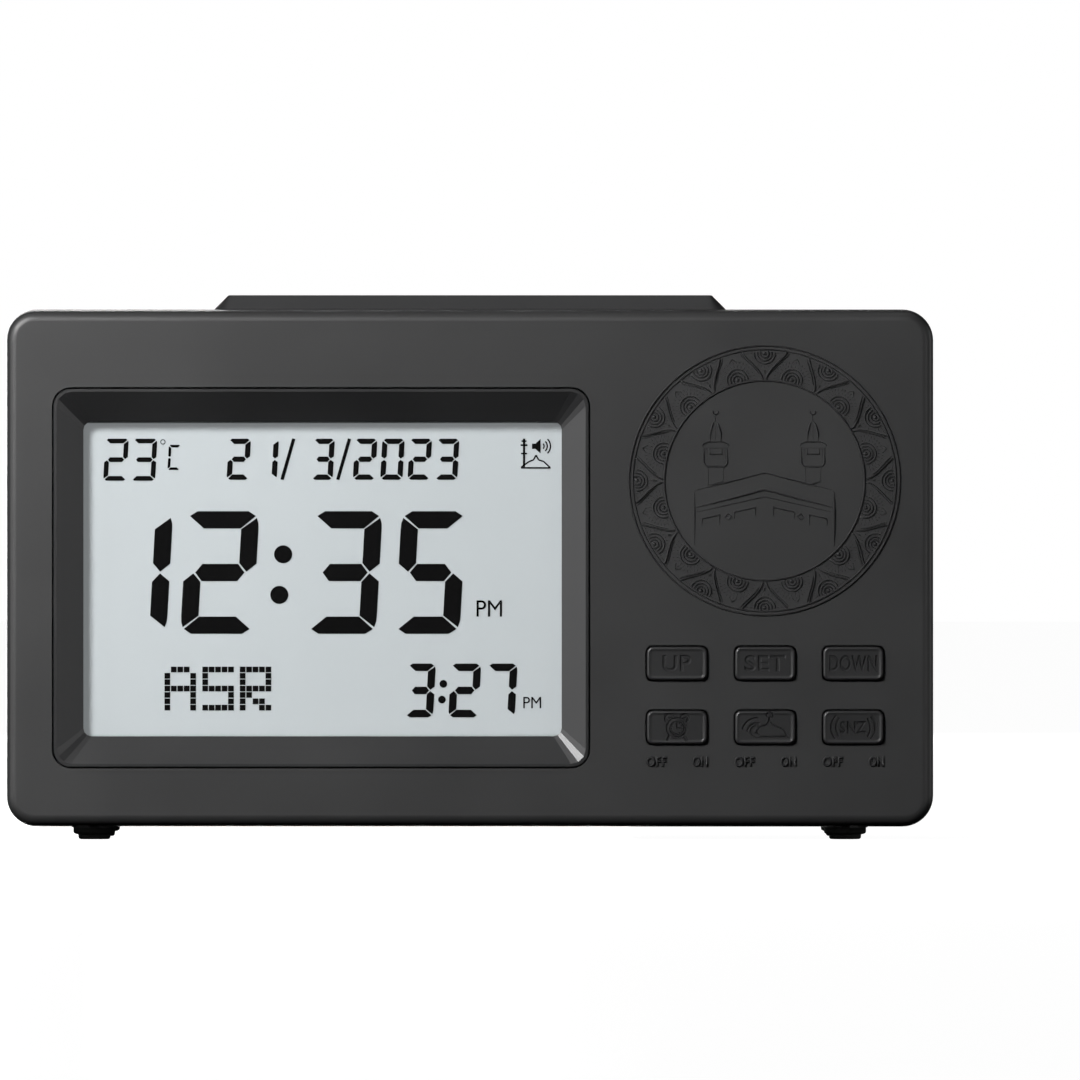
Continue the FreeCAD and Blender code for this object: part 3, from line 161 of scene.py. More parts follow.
BLACK = (0.0135, 0.0135, 0.0138)
BLACK_UP = (0.0165, 0.0165, 0.0168)
MATERIALS = {
    "case_black": finish_of("case_black", BLACK, BLACK_UP, (0.46, 0.5), grain_h=0.35),
    "bezel_black": finish_of("bezel_black", (0.012, 0.012, 0.0125), (0.015, 0.015, 0.0155), (0.36, 0.4),
                             grain_h=0.25),
    "key_black": finish_of("key_black", (0.0115, 0.0115, 0.012), (0.014, 0.014, 0.0145), (0.36, 0.42),
                           grain_h=0.3),
    "bar_black": finish_of("bar_black", (0.0125, 0.0125, 0.013), (0.0155, 0.0155, 0.016), (0.4, 0.45),
                           grain_h=0.3),
    "ornament_black": finish_of("ornament_black", (0.0125, 0.0125, 0.013), (0.0155, 0.0155, 0.016),
                                (0.38, 0.44), grain_h=0.3),
    "rubber_black": finish_of("rubber_black", (0.012, 0.012, 0.012), (0.02, 0.02, 0.02), (0.75, 0.85),
                              grain=2500.0, grain_h=0.5),
    # The display panel glows with a pale emission: painted light that keeps it evenly lit whatever light
    # falls on it.
    "display_grey": finish_of("display_grey", (0.30, 0.325, 0.335), (0.31, 0.335, 0.345), (0.5, 0.6),
                              patch=25.0, grain=9000.0, grain_h=0.05, specular=0.2,
                              glow=((0.70, 0.745, 0.765), 0.25)),
    "segment_black": finish_of("segment_black", (0.001, 0.001, 0.001), (0.002, 0.002, 0.002), (0.6, 0.7),
                               specular=0.02),
    "lcd_glass": finish_of("lcd_glass", (0.42, 0.47, 0.47), (0.46, 0.5, 0.5), (0.08, 0.14)),
    "polariser": finish_of("polariser", (0.2, 0.22, 0.22), (0.24, 0.26, 0.26), (0.2, 0.3)),
    "guide_white": finish_of("guide_white", (0.72, 0.74, 0.76), (0.8, 0.81, 0.82), (0.2, 0.3)),
    "holder_white": finish_of("holder_white", (0.68, 0.68, 0.67), (0.75, 0.75, 0.74), (0.45, 0.55),
                              grain_h=0.3),
    "lamp_white": finish_of("lamp_white", (0.8, 0.8, 0.7), (0.85, 0.84, 0.74), (0.3, 0.4)),
    "zebra_grey": finish_of("zebra_grey", (0.1, 0.1, 0.1), (0.6, 0.55, 0.55), (0.6, 0.7), patch=900.0,
                            stretch=(1, 0.01, 0.01)),
    "board_green": finish_of("board_green", (0.006, 0.09, 0.03), (0.012, 0.13, 0.05), (0.28, 0.36),
                             patch=400.0, grain=1500.0, grain_h=0.3),
    "chip_black": finish_of("chip_black", (0.008, 0.008, 0.009), (0.013, 0.013, 0.014), (0.3, 0.45),
                            grain_h=0.4),
    "passive_tan": finish_of("passive_tan", (0.32, 0.2, 0.1), (0.4, 0.26, 0.14), (0.4, 0.5), patch=700.0),
    "tin_metal": finish_of("tin_metal", (0.6, 0.6, 0.62), (0.72, 0.72, 0.73), (0.25, 0.35), metallic=1.0,
                           patch=300.0),
    "socket_white": finish_of("socket_white", (0.66, 0.65, 0.6), (0.74, 0.73, 0.68), (0.4, 0.5)),
    "lead_grey": finish_of("lead_grey", (0.3, 0.3, 0.31), (0.38, 0.38, 0.39), (0.45, 0.55), patch=1200.0,
                           stretch=(1, 1, 0.05)),
    "lead_red": finish_of("lead_red", (0.36, 0.02, 0.015), (0.45, 0.03, 0.02), (0.4, 0.5), patch=300.0),
    "screw_steel": finish_of("screw_steel", (0.4, 0.4, 0.41), (0.55, 0.55, 0.56), (0.3, 0.4), metallic=1.0,
                             patch=500.0),
    "switch_black": finish_of("switch_black", (0.012, 0.012, 0.012), (0.02, 0.02, 0.02), (0.4, 0.5)),
    "contact_metal": finish_of("contact_metal", (0.62, 0.6, 0.55), (0.75, 0.73, 0.68), (0.25, 0.4),
                               metallic=1.0, patch=400.0),
    "cell_wrap": finish_of("cell_wrap", (0.04, 0.045, 0.055), (0.06, 0.065, 0.08), (0.25, 0.35), patch=100.0),
    "cone_paper": finish_of("cone_paper", (0.018, 0.017, 0.016), (0.04, 0.038, 0.035), (0.8, 0.9),
                            patch=500.0, grain=1800.0, grain_h=0.9),
    "basket_steel": finish_of("basket_steel", (0.2, 0.2, 0.21), (0.28, 0.28, 0.29), (0.35, 0.45),
                              metallic=1.0, patch=300.0),
    "magnet_grey": finish_of("magnet_grey", (0.06, 0.06, 0.065), (0.09, 0.09, 0.095), (0.5, 0.6),
                             patch=500.0),
    "gasket_foam": finish_of("gasket_foam", (0.012, 0.012, 0.012), (0.03, 0.03, 0.03), (0.9, 0.98),
                             patch=1500.0, grain=2500.0, grain_h=1.0),
}


def clear_window():
    """Clear panel: mostly see-through, with a faint smear in its gloss."""
    material, tree, shader, place = new_material("window_clear")
    wide = noise(tree, place, 40.0, 3.0)
    colour = ramp(tree, wide.outputs["Fac"], (0.03, 0.031, 0.032), (0.04, 0.041, 0.042))
    tree.links.new(colour.outputs["Color"], shader.inputs["Base Color"])
    tone = spread(tree, wide.outputs["Fac"], 0.05, 0.09)
    tree.links.new(tone.outputs["Result"], shader.inputs["Roughness"])
    fine = noise(tree, place, 3000.0, 3.0)
    add_bump(tree, shader, fine.outputs["Fac"], 0.01, 0.00001)
    shader.inputs["Alpha"].default_value = 0.03
    shader.inputs["Specular IOR Level"].default_value = 0.2
    return material


MATERIALS["window_clear"] = clear_window()

# Every CAD node takes the finish of its slot
for entry in frame["record"]["subparts"]:
    node = frame["nodes"][entry["node"]]
    node.data.materials.clear()
    node.data.materials.append(MATERIALS[entry["material_slot"]])


# Mesh helpers

def piece(name, verts, faces, slot, body="root", smooth=False):
    """New mesh piece in metres, riding on a body and painted with the finish of its slot."""
    mesh = bpy.data.meshes.new(name)
    mesh.from_pydata([tuple(v) for v in verts], [], faces)
    mesh.validate()
    mesh.update()
    for polygon in mesh.polygons:
        polygon.use_smooth = smooth
    thing = bpy.data.objects.new(name, mesh)
    bpy.context.scene.collection.objects.link(thing)
    thing.data.materials.append(MATERIALS[slot])
    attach(thing, body)
    return thing


def turn_outwards(thing, weld=None):
    """Makes the faces look outwards, after joining points nearer than weld."""
    mesh = bmesh.new()
    mesh.from_mesh(thing.data)
    if weld:
        bmesh.ops.remove_doubles(mesh, verts=mesh.verts, dist=weld)
    bmesh.ops.recalc_face_normals(mesh, faces=mesh.faces)
    mesh.to_mesh(thing.data)
    mesh.free()


def soften(thing, degrees):
    """Smooth shading that stays crisp over edges sharper than an angle."""
    thing.data.shade_smooth()
    thing.data.set_sharp_from_angle(angle=math.radians(degrees))


class Builder:
    """Collects flat plates and low ridges on the front of the object."""

    def __init__(self):
        self.verts = []
        self.faces = []

    def add(self, verts, faces):
        start = len(self.verts)
        self.verts += verts
        self.faces += [tuple(start + i for i in face) for face in faces]

    def plate(self, outline, y_front, y_back):
        """Upright plate with the outline given as (x, z) points."""
        count = len(outline)
        verts = [(x, y_front, z) for x, z in outline] + [(x, y_back, z) for x, z in outline]
        faces = []
        flat = [Vector((x, z, 0)) for x, z in outline]
        for a, b, c in tessellate_polygon([flat]):
            turn = (flat[b] - flat[a]).cross(flat[c] - flat[a]).z
            if turn < 0:
                a, b = b, a
            faces.append((a, b, c))
            faces.append((count + c, count + b, count + a))
        area = sum(outline[i - 1][0] * outline[i][1] - outline[i][0] * outline[i - 1][1]
                   for i in range(count))
        for i in range(count):
            j = (i + 1) % count
            side = (i, count + i, count + j, j)
            faces.append(side if area > 0 else side[::-1])
        self.add(verts, faces)

    def ridge(self, points, width, height, y_base, closed):
        """Low rounded ridge along (x, z) points. It stands on y_base and rises towards the front."""
        count = len(points)
        profile = [(-0.5, 0.0), (-0.36, 0.62), (-0.14, 0.95), (0.14, 0.95), (0.36, 0.62), (0.5, 0.0)]
        verts = []
        for i, (x, z) in enumerate(points):
            if closed:
                before, after = points[i - 1], points[(i + 1) % count]
            else:
                before, after = points[max(i - 1, 0)], points[min(i + 1, count - 1)]
            dx, dz = after[0] - before[0], after[1] - before[1]
            length = math.hypot(dx, dz) or 1.0
            nx, nz = -dz / length, dx / length
            scale = 1.0
            if not closed and (i == 0 or i == count - 1):
                scale = 0.35
            for across, up in profile:
                verts.append((x + nx * across * width * scale, y_base - up * height * scale,
                              z + nz * across * width * scale))
        n = len(profile)
        faces = []
        for i in range(count if closed else count - 1):
            j = (i + 1) % count
            for k in range(n - 1):
                faces.append((i * n + k, i * n + k + 1, j * n + k + 1, j * n + k))
        if not closed:
            faces.append(tuple(range(n - 1, -1, -1)))
            faces.append(tuple((count - 1) * n + k for k in range(n)))
        self.add(verts, faces)

    def bead(self, x, z, radius, height, y_base, around):
        """Low round bead."""
        verts = [(x, y_base - height, z)]
        for r, up in ((0.6, 0.8), (1.0, 0.0)):
            for i in range(around):
                angle = 2 * math.pi * i / around
                verts.append((x + radius * r * math.cos(angle), y_base - height * up,
                              z + radius * r * math.sin(angle)))
        faces = [(0, 1 + i, 1 + (i + 1) % around) for i in range(around)]
        for i in range(around):
            j = (i + 1) % around
            faces.append((1 + i, 1 + around + i, 1 + around + j, 1 + j))
        self.add(verts, faces)

    def make(self, name, slot, smooth=True):
        made = piece(name, self.verts, self.faces, slot, smooth=smooth)
        turn_outwards(made)
        if smooth:
            soften(made, 40)
        return made


def arc(cx, cz, radius, start, end, steps):
    """Points of an arc, its angles in degrees clockwise from the top."""
    found = []
    for i in range(steps + 1):
        angle = math.radians(start + (end - start) * i / steps)
        found.append((cx + radius * math.sin(angle), cz + radius * math.cos(angle)))
    return found


def smooth_path(points, steps):
    """Catmull-Rom curve through points."""
    found = []
    count = len(points)
    for i in range(count - 1):
        p0 = points[max(i - 1, 0)]
        p1, p2 = points[i], points[i + 1]
        p3 = points[min(i + 2, count - 1)]
        for s in range(steps):
            t = s / steps
            found.append(tuple(0.5 * (2 * p1[k] + (p2[k] - p0[k]) * t
                                      + (2 * p0[k] - 5 * p1[k] + 4 * p2[k] - p3[k]) * t * t
                                      + (3 * p1[k] - p0[k] - 3 * p2[k] + p3[k]) * t ** 3) for k in (0, 1)))
    found.append(points[-1])
    return found


def sign_splines(text, size, cx, cz, squeeze):
    """Outlines of plain lettering, centred on a point, as lists of (x, z) points."""
    data = bpy.data.curves.new("lettering", "FONT")
    data.body = text
    data.size = size
    data.align_x = "CENTER"
    data.resolution_u = 5
    holder = bpy.data.objects.new("lettering", data)
    bpy.context.scene.collection.objects.link(holder)
    bpy.context.view_layer.update()
    flat = bpy.data.meshes.new_from_object(holder)
    tall = max(v.co.y for v in flat.vertices)
    low = min(v.co.y for v in flat.vertices)
    middle = (max(v.co.x for v in flat.vertices) + min(v.co.x for v in flat.vertices)) / 2
    points = [((v.co.x - middle) * squeeze + cx, v.co.y - (tall + low) / 2 + cz) for v in flat.vertices]
    faces = [tuple(p.vertices) for p in flat.polygons]
    bpy.data.objects.remove(holder)
    bpy.data.curves.remove(data)
    bpy.data.meshes.remove(flat)
    return points, faces


# Display: pale panel with raised black segments, behind the window

LCD_PANEL_Y = FACE_Y + 0.00492
SEGMENT_Y = FACE_Y + 0.00484
DIGIT_LEAN = 0.055
DOT_PITCH_X, DOT_PITCH_Y, DOT_SIDE = 6.45, 6.4, 5.7

# Rows of figures in photograph pixels: top and foot, thickness of a stroke, gap between strokes
DEGREES_ROW = (438.0, 480.4, 4.8, 1.2)
DATE_ROW = (438.0, 479.4, 5.4, 1.2)
TIME_ROW = (511.0, 634.4, 17.4, 1.6)
CALL_ROW = (664.3, 718.4, 7.6, 1.2)
UNIT_ROW = (444.2, 469.6, 2.7, 1.0)
WORD_TOP = 667.4


def digit_segments(x0, x1, row, lit):
    """Seven-segment figure in photograph pixels. The corners are mitred and the outer ones rounded."""
    y_top, y_low, t, gap = row
    g = gap / 2
    height = y_low - y_top
    mid = (y_top + y_low) / 2
    w = x1 - x0 - DIGIT_LEAN * height
    left = x0
    right = x0 + w
    r = t * 0.62
    half = t / 2
    shapes = {
        "a": [(left + g * 1.4 + t * 0.12, y_top + t * 0.28), (left + r, y_top), (right - r, y_top),
              (right - g * 1.4 - t * 0.12, y_top + t * 0.28), (right - t - g * 0.6, y_top + t),
              (left + t + g * 0.6, y_top + t)],
        "d": [(left + g * 1.4 + t * 0.12, y_low - t * 0.28), (left + t + g * 0.6, y_low - t),
              (right - t - g * 0.6, y_low - t), (right - g * 1.4 - t * 0.12, y_low - t * 0.28),
              (right - r, y_low), (left + r, y_low)],
        "g": [(left + t * 0.62 + g, mid), (left + t + g * 1.3, mid - half),
              (right - t - g * 1.3, mid - half), (right - t * 0.62 - g, mid),
              (right - t - g * 1.3, mid + half), (left + t + g * 1.3, mid + half)],
        "b": [(right - t, y_top + t + g), (right - t * 0.12, y_top + t * 0.34 + g),
              (right - t * 0.02, y_top + t * 0.7), (right, y_top + t), (right, mid - half - g * 0.2),
              (right - t * 0.56, mid - g), (right - t, mid - half + g * 0.4 - t * 0.06)],
    }
    shapes["c"] = [(x, 2 * mid - y) for x, y in shapes["b"]]
    shapes["f"] = [(left + right - x, y) for x, y in shapes["b"]]
    shapes["e"] = [(left + right - x, 2 * mid - y) for x, y in shapes["b"]]
    made = []
    for key in lit:
        made.append([(x + DIGIT_LEAN * (y_low - y), y) for x, y in shapes[key]])
    return made


LIT = {"0": "abcdef", "1": "bc", "2": "abged", "3": "abgcd", "5": "afgcd", "7": "abc", "C": "afed"}


def display_piece():
    build = Builder()

    def plate(outline):
        build.plate([(px(x), pz(y)) for x, y in outline], SEGMENT_Y, LCD_PANEL_Y + 0.00001)

    def figure(text, x0, x1, row):
        for shape in digit_segments(x0, x1, row, LIT[text]):
            plate(shape)

    def disc(x, y, radius, steps):
        plate([(x + radius * math.cos(2 * math.pi * i / steps),
                y + radius * math.sin(2 * math.pi * i / steps)) for i in range(steps)])

    def bar(x0, y0, x1, y1, width):
        dx, dy = x1 - x0, y1 - y0
        length = math.hypot(dx, dy)
        nx, ny = -dy / length * width / 2, dx / length * width / 2
        plate([(x0 + nx, y0 + ny), (x1 + nx, y1 + ny), (x1 - nx, y1 - ny), (x0 - nx, y0 - ny)])

    def slash(x):
        bar(x, DATE_ROW[1], x + 11.8, DATE_ROW[0], 3.4)

    # Room temperature
    figure("2", 102.4, 128.2, DEGREES_ROW)
    figure("3", 130.6, 156.8, DEGREES_ROW)
    for i in range(14):
        a0 = 2 * math.pi * i / 14
        a1 = 2 * math.pi * (i + 1) / 14
        plate([(162.3 + 2.7 * math.cos(a), 441.3 + 2.7 * math.sin(a)) for a in (a0, a1)]
              + [(162.3 + 1.8 * math.cos(a), 441.3 + 1.8 * math.sin(a)) for a in (a1, a0)])
    figure("C", 166.8, 180.4, UNIT_ROW)
    # Date
    figure("2", 226.0, 250.6, DATE_ROW)
    figure("1", 257.0, 278.6, DATE_ROW)
    slash(281.6)
    figure("3", 311.0, 334.6, DATE_ROW)
    slash(337.4)
    for x0, text in ((352.4, "2"), (379.8, "0"), (407.2, "2"), (434.6, "3")):
        figure(text, x0, x0 + 24.8, DATE_ROW)
    # Time
    figure("1", 112.0, 172.6, TIME_ROW)
    figure("2", 179.6, 259.0, TIME_ROW)
    disc(282.7, 554.4, 9.1, 32)
    disc(278.9, 595.2, 9.1, 32)
    figure("3", 307.2, 382.4, TIME_ROW)
    figure("5", 394.6, 466.2, TIME_ROW)
    # Dot-matrix word for the afternoon
    letters = {
        "A": ("01110", "10001", "10001", "11111", "10001", "10001", "10001"),
        "S": ("11111", "10000", "10000", "11111", "00001", "00001", "11111"),
        "R": ("11111", "10001", "10001", "11111", "11000", "10110", "10011"),
    }
    for x0, text in ((163.9, "A"), (201.8, "S"), (239.3, "R")):
        for row, line in enumerate(letters[text]):
            for column, dot in enumerate(line):
                if dot == "1":
                    x = x0 + column * DOT_PITCH_X
                    y = WORD_TOP + row * DOT_PITCH_Y
                    plate([(x, y), (x + DOT_SIDE, y), (x + DOT_SIDE, y + DOT_SIDE), (x, y + DOT_SIDE)])
    # Time of the next call
    figure("3", 404.8, 435.8, CALL_ROW)
    disc(443.2, 684.7, 3.9, 20)
    disc(441.8, 700.6, 3.9, 20)
    figure("2", 448.0, 481.2, CALL_ROW)
    figure("7", 484.8, 517.6, CALL_ROW)
    for text, size, cx, cy in (("PM", 0.00385, 489.2, 608.9), ("PM", 0.0027, 532.2, 703.6)):
        points, faces = sign_splines(text, size, px(cx), pz(cy), 0.93)
        for face in faces:
            build.plate([points[i] for i in face], SEGMENT_Y, LCD_PANEL_Y + 0.00001)
    # Sign of the call: tower, roof and a speaker with three waves
    bar(521.5, 440.5, 526.5, 440.5, 1.6)
    bar(524.0, 438.0, 524.0, 466.5, 2.2)
    bar(520.6, 444.6, 527.4, 444.6, 1.8)
    bar(521.0, 453.0, 527.0, 453.0, 1.6)
    roof = [(521.0, 467.0), (529.0, 461.0), (533.5, 459.4), (536.0, 454.6), (538.6, 459.4), (543.6, 461.0),
            (550.0, 467.0)]
    for a, b in zip(roof, roof[1:]):
        bar(*a, *b, 1.5)
    bar(521.0, 467.4, 550.6, 467.4, 1.6)
    plate([(532.0, 443.0), (535.4, 443.0), (540.6, 438.2), (540.6, 453.0), (535.4, 448.4), (532.0, 448.4)])
    for radius in (4.2, 7.4, 10.6):
        turns = [math.radians(-46 + 92 * i / 8) for i in range(9)]
        outer = [(540.6 + radius * math.cos(a), 445.6 + radius * math.sin(a)) for a in turns]
        inner = [(540.6 + (radius - 1.4) * math.cos(a), 445.6 + (radius - 1.4) * math.sin(a)) for a in turns]
        plate(outer + inner[::-1])
    build.make("lcd_segments", "segment_black", smooth=False)

    low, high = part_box("lcd_front_polariser")
    panel = Builder()
    panel.plate([(low[0], low[2]), (high[0], low[2]), (high[0], high[2]), (low[0], high[2])], LCD_PANEL_Y,
                high[1])
    face = panel.make("lcd_face", "display_grey", smooth=False)
    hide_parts("lcd_front_polariser")


display_piece()


# Round relief on the face, in pixels of the photograph

RING_X, RING_Y = 764.5, 480.3
RING_OUT, RING_IN = 136.2, 99.6
BAND_OUT, BAND_IN = 130.4, 101.6
LOBES = 12
LOBE_TURN = 360.0 / LOBES
RELIEF = 0.0003

# The building and towers are placed on an enlargement of the photograph
ENLARGED = 5.407
ENLARGED_X, ENLARGED_Y = 620, 340
BUILDING_MIDDLE = 780.5
TOWER_MIDDLES = (515, 1041)


def ring_point(radius, degrees):
    angle = math.radians(degrees)
    return px(RING_X + radius * math.sin(angle)), pz(RING_Y - radius * math.cos(angle))


def lobe_half_width(radius):
    """Half the angle that an outer lobe takes up at a radius, in degrees."""
    share = min(max((radius - 102.0) / 31.0, 0.0), 1.0)
    bent = share * share * (3 - 2 * share)
    return 0.9 + 9.4 * (0.35 * share + 0.65 * bent)


def ornament():
    build = Builder()

    def line(points, width, height=1.0, closed=False):
        build.ridge(points, width * PX, RELIEF * height, FACE_Y + 0.00001, closed)

    for radius, width, height in ((RING_OUT - 0.8, 1.7, 1.0), (RING_OUT - 4.6, 1.2, 0.8),
                                  (RING_IN + 0.6, 1.8, 1.0)):
        line([ring_point(radius, i * 2) for i in range(180)], width, height, True)

    def inside(radius, degrees, outer):
        """Whether a point of the band lies in its lobe, clear of the ridges."""
        if not BAND_IN < radius < BAND_OUT:
            return False
        width = lobe_half_width(radius)
        margin = math.degrees(1.9 / radius)
        return abs(degrees) < (width - margin if outer else LOBE_TURN / 2 - width - margin)

    def lobe_runs(centre_radius, size, outer):
        """Arcs round the boss of a lobe that stay in the lobe, as (radius, degrees off the lobe) runs."""
        run, runs = [], []
        steps = 48
        for i in range(steps + 1):
            angle = math.pi * 2 * i / steps
            x = size * math.sin(angle)
            y = centre_radius + (-1 if outer else 1) * size * math.cos(angle)
            radius, degrees = math.hypot(x, y), math.degrees(math.atan2(x, y))
            if inside(radius, degrees, outer):
                run.append((radius, degrees))
            elif run:
                runs.append(run)
                run = []
        if run:
            runs.append(run)
        if len(runs) > 1 and inside(*runs[0][0], outer) and abs(runs[0][0][1] - runs[-1][-1][1]) < 0.9:
            runs[0] = runs.pop() + runs[0]
        return [r for r in runs if len(r) > 2]

    for k in range(LOBES):
        turn = LOBE_TURN * k
        # Boundary ridges of the outer lobe, double on the side of the inner lobes
        for side in (-1, 1):
            path = []
            for i in range(13):
                radius = 101.0 + (131.4 - 101.0) * i / 12
                path.append(ring_point(radius, turn + side * lobe_half_width(radius)))
            line(path, 1.5)
            path = []
            for i in range(10):
                radius = 107.0 + (129.8 - 107.0) * i / 9
                off = lobe_half_width(radius) + 1.25
                path.append(ring_point(radius, turn + side * off))
            line(path, 0.8, 0.7)
        for outer in (True, False):
            middle = turn if outer else turn + LOBE_TURN / 2
            boss = 127.6 if outer else 104.6
            build.bead(*ring_point(boss, middle), 2.0 * PX, RELIEF * 0.9, FACE_Y, 10)
            for size, width in ((4.2, 1.1), (7.2, 0.9), (10.4, 1.1)):
                for run in lobe_runs(boss, size, outer):
                    line([ring_point(r, middle + d) for r, d in run], width, 0.85)
            # Scales beyond the arcs
            for size, length in ((13.4, 2.2), (17.4, 2.2)):
                count = int(2 * math.pi * size / 3.4)
                for i in range(count):
                    angle = 2 * math.pi * i / count
                    ends = []
                    for reach in (size - length / 2, size + length / 2):
                        x = reach * math.sin(angle)
                        y = boss + (-1 if outer else 1) * reach * math.cos(angle)
                        ends.append((math.hypot(x, y), math.degrees(math.atan2(x, y))))
                    if all(inside(r, d, outer) for r, d in ends):
                        line([ring_point(r, middle + d) for r, d in ends], 1.5, 0.8)
            tip = 108.0 if outer else 126.0
            spread_at = 0.6 if outer else 1.6
            way = 1 if outer else -1
            line([ring_point(tip + way * 3.4, middle - spread_at), ring_point(tip, middle),
                  ring_point(tip + way * 3.4, middle + spread_at)], 0.9, 0.8)

    # Plain cube-shaped building over its corner, with two towers behind it
    def crop(*pairs):
        return [(px(ENLARGED_X + x / ENLARGED), pz(ENLARGED_Y + y / ENLARGED)) for x, y in pairs]

    def flip(pairs):
        return [(2 * BUILDING_MIDDLE - x, y) for x, y in pairs]

    roof = [(410, 812), (595, 764), (780, 716)]
    ledge = [(412, 905), (596, 857), (780, 808)]
    belt = [(408, 932), (594, 888), (780, 846)]
    for pairs, width, height in ((roof, 1.4, 0.8), (ledge, 1.9, 1.1), (belt, 1.0, 0.6)):
        line(crop(*(pairs + flip(pairs)[::-1][1:])), width, height)
    wall = [(403, 815), (403, 905), (403, 1000), (403, 1112)]
    line(crop(*wall), 1.3, 0.7)
    line(crop(*[(x, y + 5) for x, y in flip(wall)]), 2.0, 1.1)
    panels = ([(443, 1004), (443, 966), (538, 944), (538, 1000)],
              [(618, 968), (618, 930), (732, 904), (732, 950)],
              [(566, 962), (584, 938), (602, 952), (586, 972), (566, 962)])
    for pairs in panels:
        line(crop(*pairs), 1.2, 0.8)
        line(crop(*flip(pairs)), 1.2, 0.8)
    for middle in TOWER_MIDDLES:
        def tower(*pairs, width=1.2, height=0.8):
            line(crop(*[(middle + x, y) for x, y in pairs]), width, height)

        tower((-38, 784), (-38, 692), width=1.4)
        tower((44, 768), (44, 692), width=1.6, height=1.0)
        tower((-42, 784), (0, 776), (46, 762), width=1.4)
        tower((-62, 578), (-60, 664), (-44, 682), (50, 682), (64, 664), (66, 578), width=1.5)
        tower((-70, 574), (-66, 560), (-36, 548), (40, 548), (70, 560), (76, 574), width=1.2)
        tower((-62, 582), (66, 582), width=1.2)
        tower((-30, 584), (-30, 616), (36, 616), (36, 584), width=1.2)
        tower((-46, 584), (-46, 640), width=0.9)
        tower((52, 584), (52, 640), width=0.9)
        tower((-26, 546), (-26, 500), (-14, 452), (-6, 440), width=1.2)
        tower((30, 546), (30, 500), (16, 452), (8, 440), width=1.4, height=1.0)
        tower((2, 540), (2, 456), width=1.0)
        tower((1, 438), (1, 398), width=1.6, height=1.0)
        horn = [(1 + 14 * math.sin(math.radians(a)), 386 - 14 * math.cos(math.radians(a)))
                for a in range(60, 301, 20)]
        tower(*horn, width=1.0)
    made = build.make("ornament_relief", "ornament_black")
    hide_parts("face_ornament")


ornament()


# Keys with signs pressed into their fronts

KEY_W, KEY_H = 0.0097, 0.0054
KEY_CORNER = 0.00105
KEY_DISH = 0.0001
# Front of a key from the dish outwards: inset from its edge, depth behind its foremost line
KEY_LIP = ((0.0008, KEY_DISH), (0.00062, KEY_DISH), (0.00046, 0.00002), (0.00034, 0.0), (0.0002, 0.00004),
           (0.00006, 0.00018), (0.0, 0.0004))
FLANGE_Y = FACE_Y + 0.0023
FLANGE_T = 0.001
STEM_SIDE, STEM_CORNER = 0.0038, 0.0005
CUTTER_LEAD = 0.0006
SIGN_DEPTH = 0.0002
SIGN_THIN = 0.00005

MARK_Y = 762.6
MARK_PLACES = (677.05, 765.2, 853.2)
MARK_TALL = 0.0017
MARKS = (("OFF", -20.6, 0.0033), ("ON", 23.2, 0.0025))


def rounded(cx, cz, width, height, radius):
    """Outline of a rectangle with round corners."""
    points = []
    steps = 8
    for i, (sx, sz) in enumerate(((1, 1), (-1, 1), (-1, -1), (1, -1))):
        for step in range(steps + 1):
            angle = math.pi / 2 * (i + step / steps)
            points.append((cx + sx * (width / 2 - radius) + radius * math.cos(angle),
                           cz + sz * (height / 2 - radius) + radius * math.sin(angle)))
    return points


def groove_mesh(lines, cx, cz):
    """Cutter of bars along lines, narrower at the bottom. Points and widths are millimetres from the
    middle of the key."""
    build = Builder()
    surface = KEY_FRONT + KEY_DISH
    levels = ((surface - CUTTER_LEAD, 0.1), (surface, 0.1), (surface + SIGN_DEPTH, -0.06))
    for points, width in lines:
        for (x0, z0), (x1, z1) in zip(points, points[1:]):
            dx, dz = x1 - x0, z1 - z0
            length = math.hypot(dx, dz) or 1.0
            verts = []
            for y, extra in levels:
                half = max(width / 2 + min(extra, width / 3), 0.02)
                ux, uz = dx / length * half, dz / length * half
                verts += [(cx + x / 1000, y, cz + z / 1000) for x, z in (
                    (x0 - ux + uz, z0 - uz - ux), (x1 + ux + uz, z1 + uz - ux),
                    (x1 + ux - uz, z1 + uz + ux), (x0 - ux - uz, z0 - uz + ux))]
            faces = [(0, 1, 2, 3), (11, 10, 9, 8)]
            for base in (0, 4):
                faces += [(base + i, base + 4 + i, base + 4 + (i + 1) % 4, base + (i + 1) % 4)
                          for i in range(4)]
            build.add(verts, faces)
    mesh = bpy.data.meshes.new("cutter")
    mesh.from_pydata(build.verts, [], build.faces)
    return mesh


def letter_mesh(text, width, height, cx, cz, y_front, y_back, bold, slope):
    """Solid plain lettering between two depths, centred on a point and fitted to a width and height."""
    data = bpy.data.curves.new("lettering", "FONT")
    data.body = text
    data.size = height / 0.7
    data.resolution_u = 4
    data.extrude = (y_back - y_front) / 2 - slope
    data.offset = bold
    data.bevel_depth = slope
    data.bevel_resolution = 0
    data.space_character = 1.08
    holder = bpy.data.objects.new("lettering", data)
    bpy.context.scene.collection.objects.link(holder)
    bpy.context.view_layer.update()
    mesh = bpy.data.meshes.new_from_object(holder)
    xs = [v.co.x for v in mesh.vertices]
    ys = [v.co.y for v in mesh.vertices]
    middle_x, middle_y = (min(xs) + max(xs)) / 2, (min(ys) + max(ys)) / 2
    scale_x, scale_y = width / (max(xs) - min(xs)), height / (max(ys) - min(ys))
    for v in mesh.vertices:
        x, y, z = v.co
        v.co = ((x - middle_x) * scale_x + cx, (y_front + y_back) / 2 - z,
                (y - middle_y) * scale_y + cz)
    bpy.data.objects.remove(holder)
    bpy.data.curves.remove(data)
    return mesh


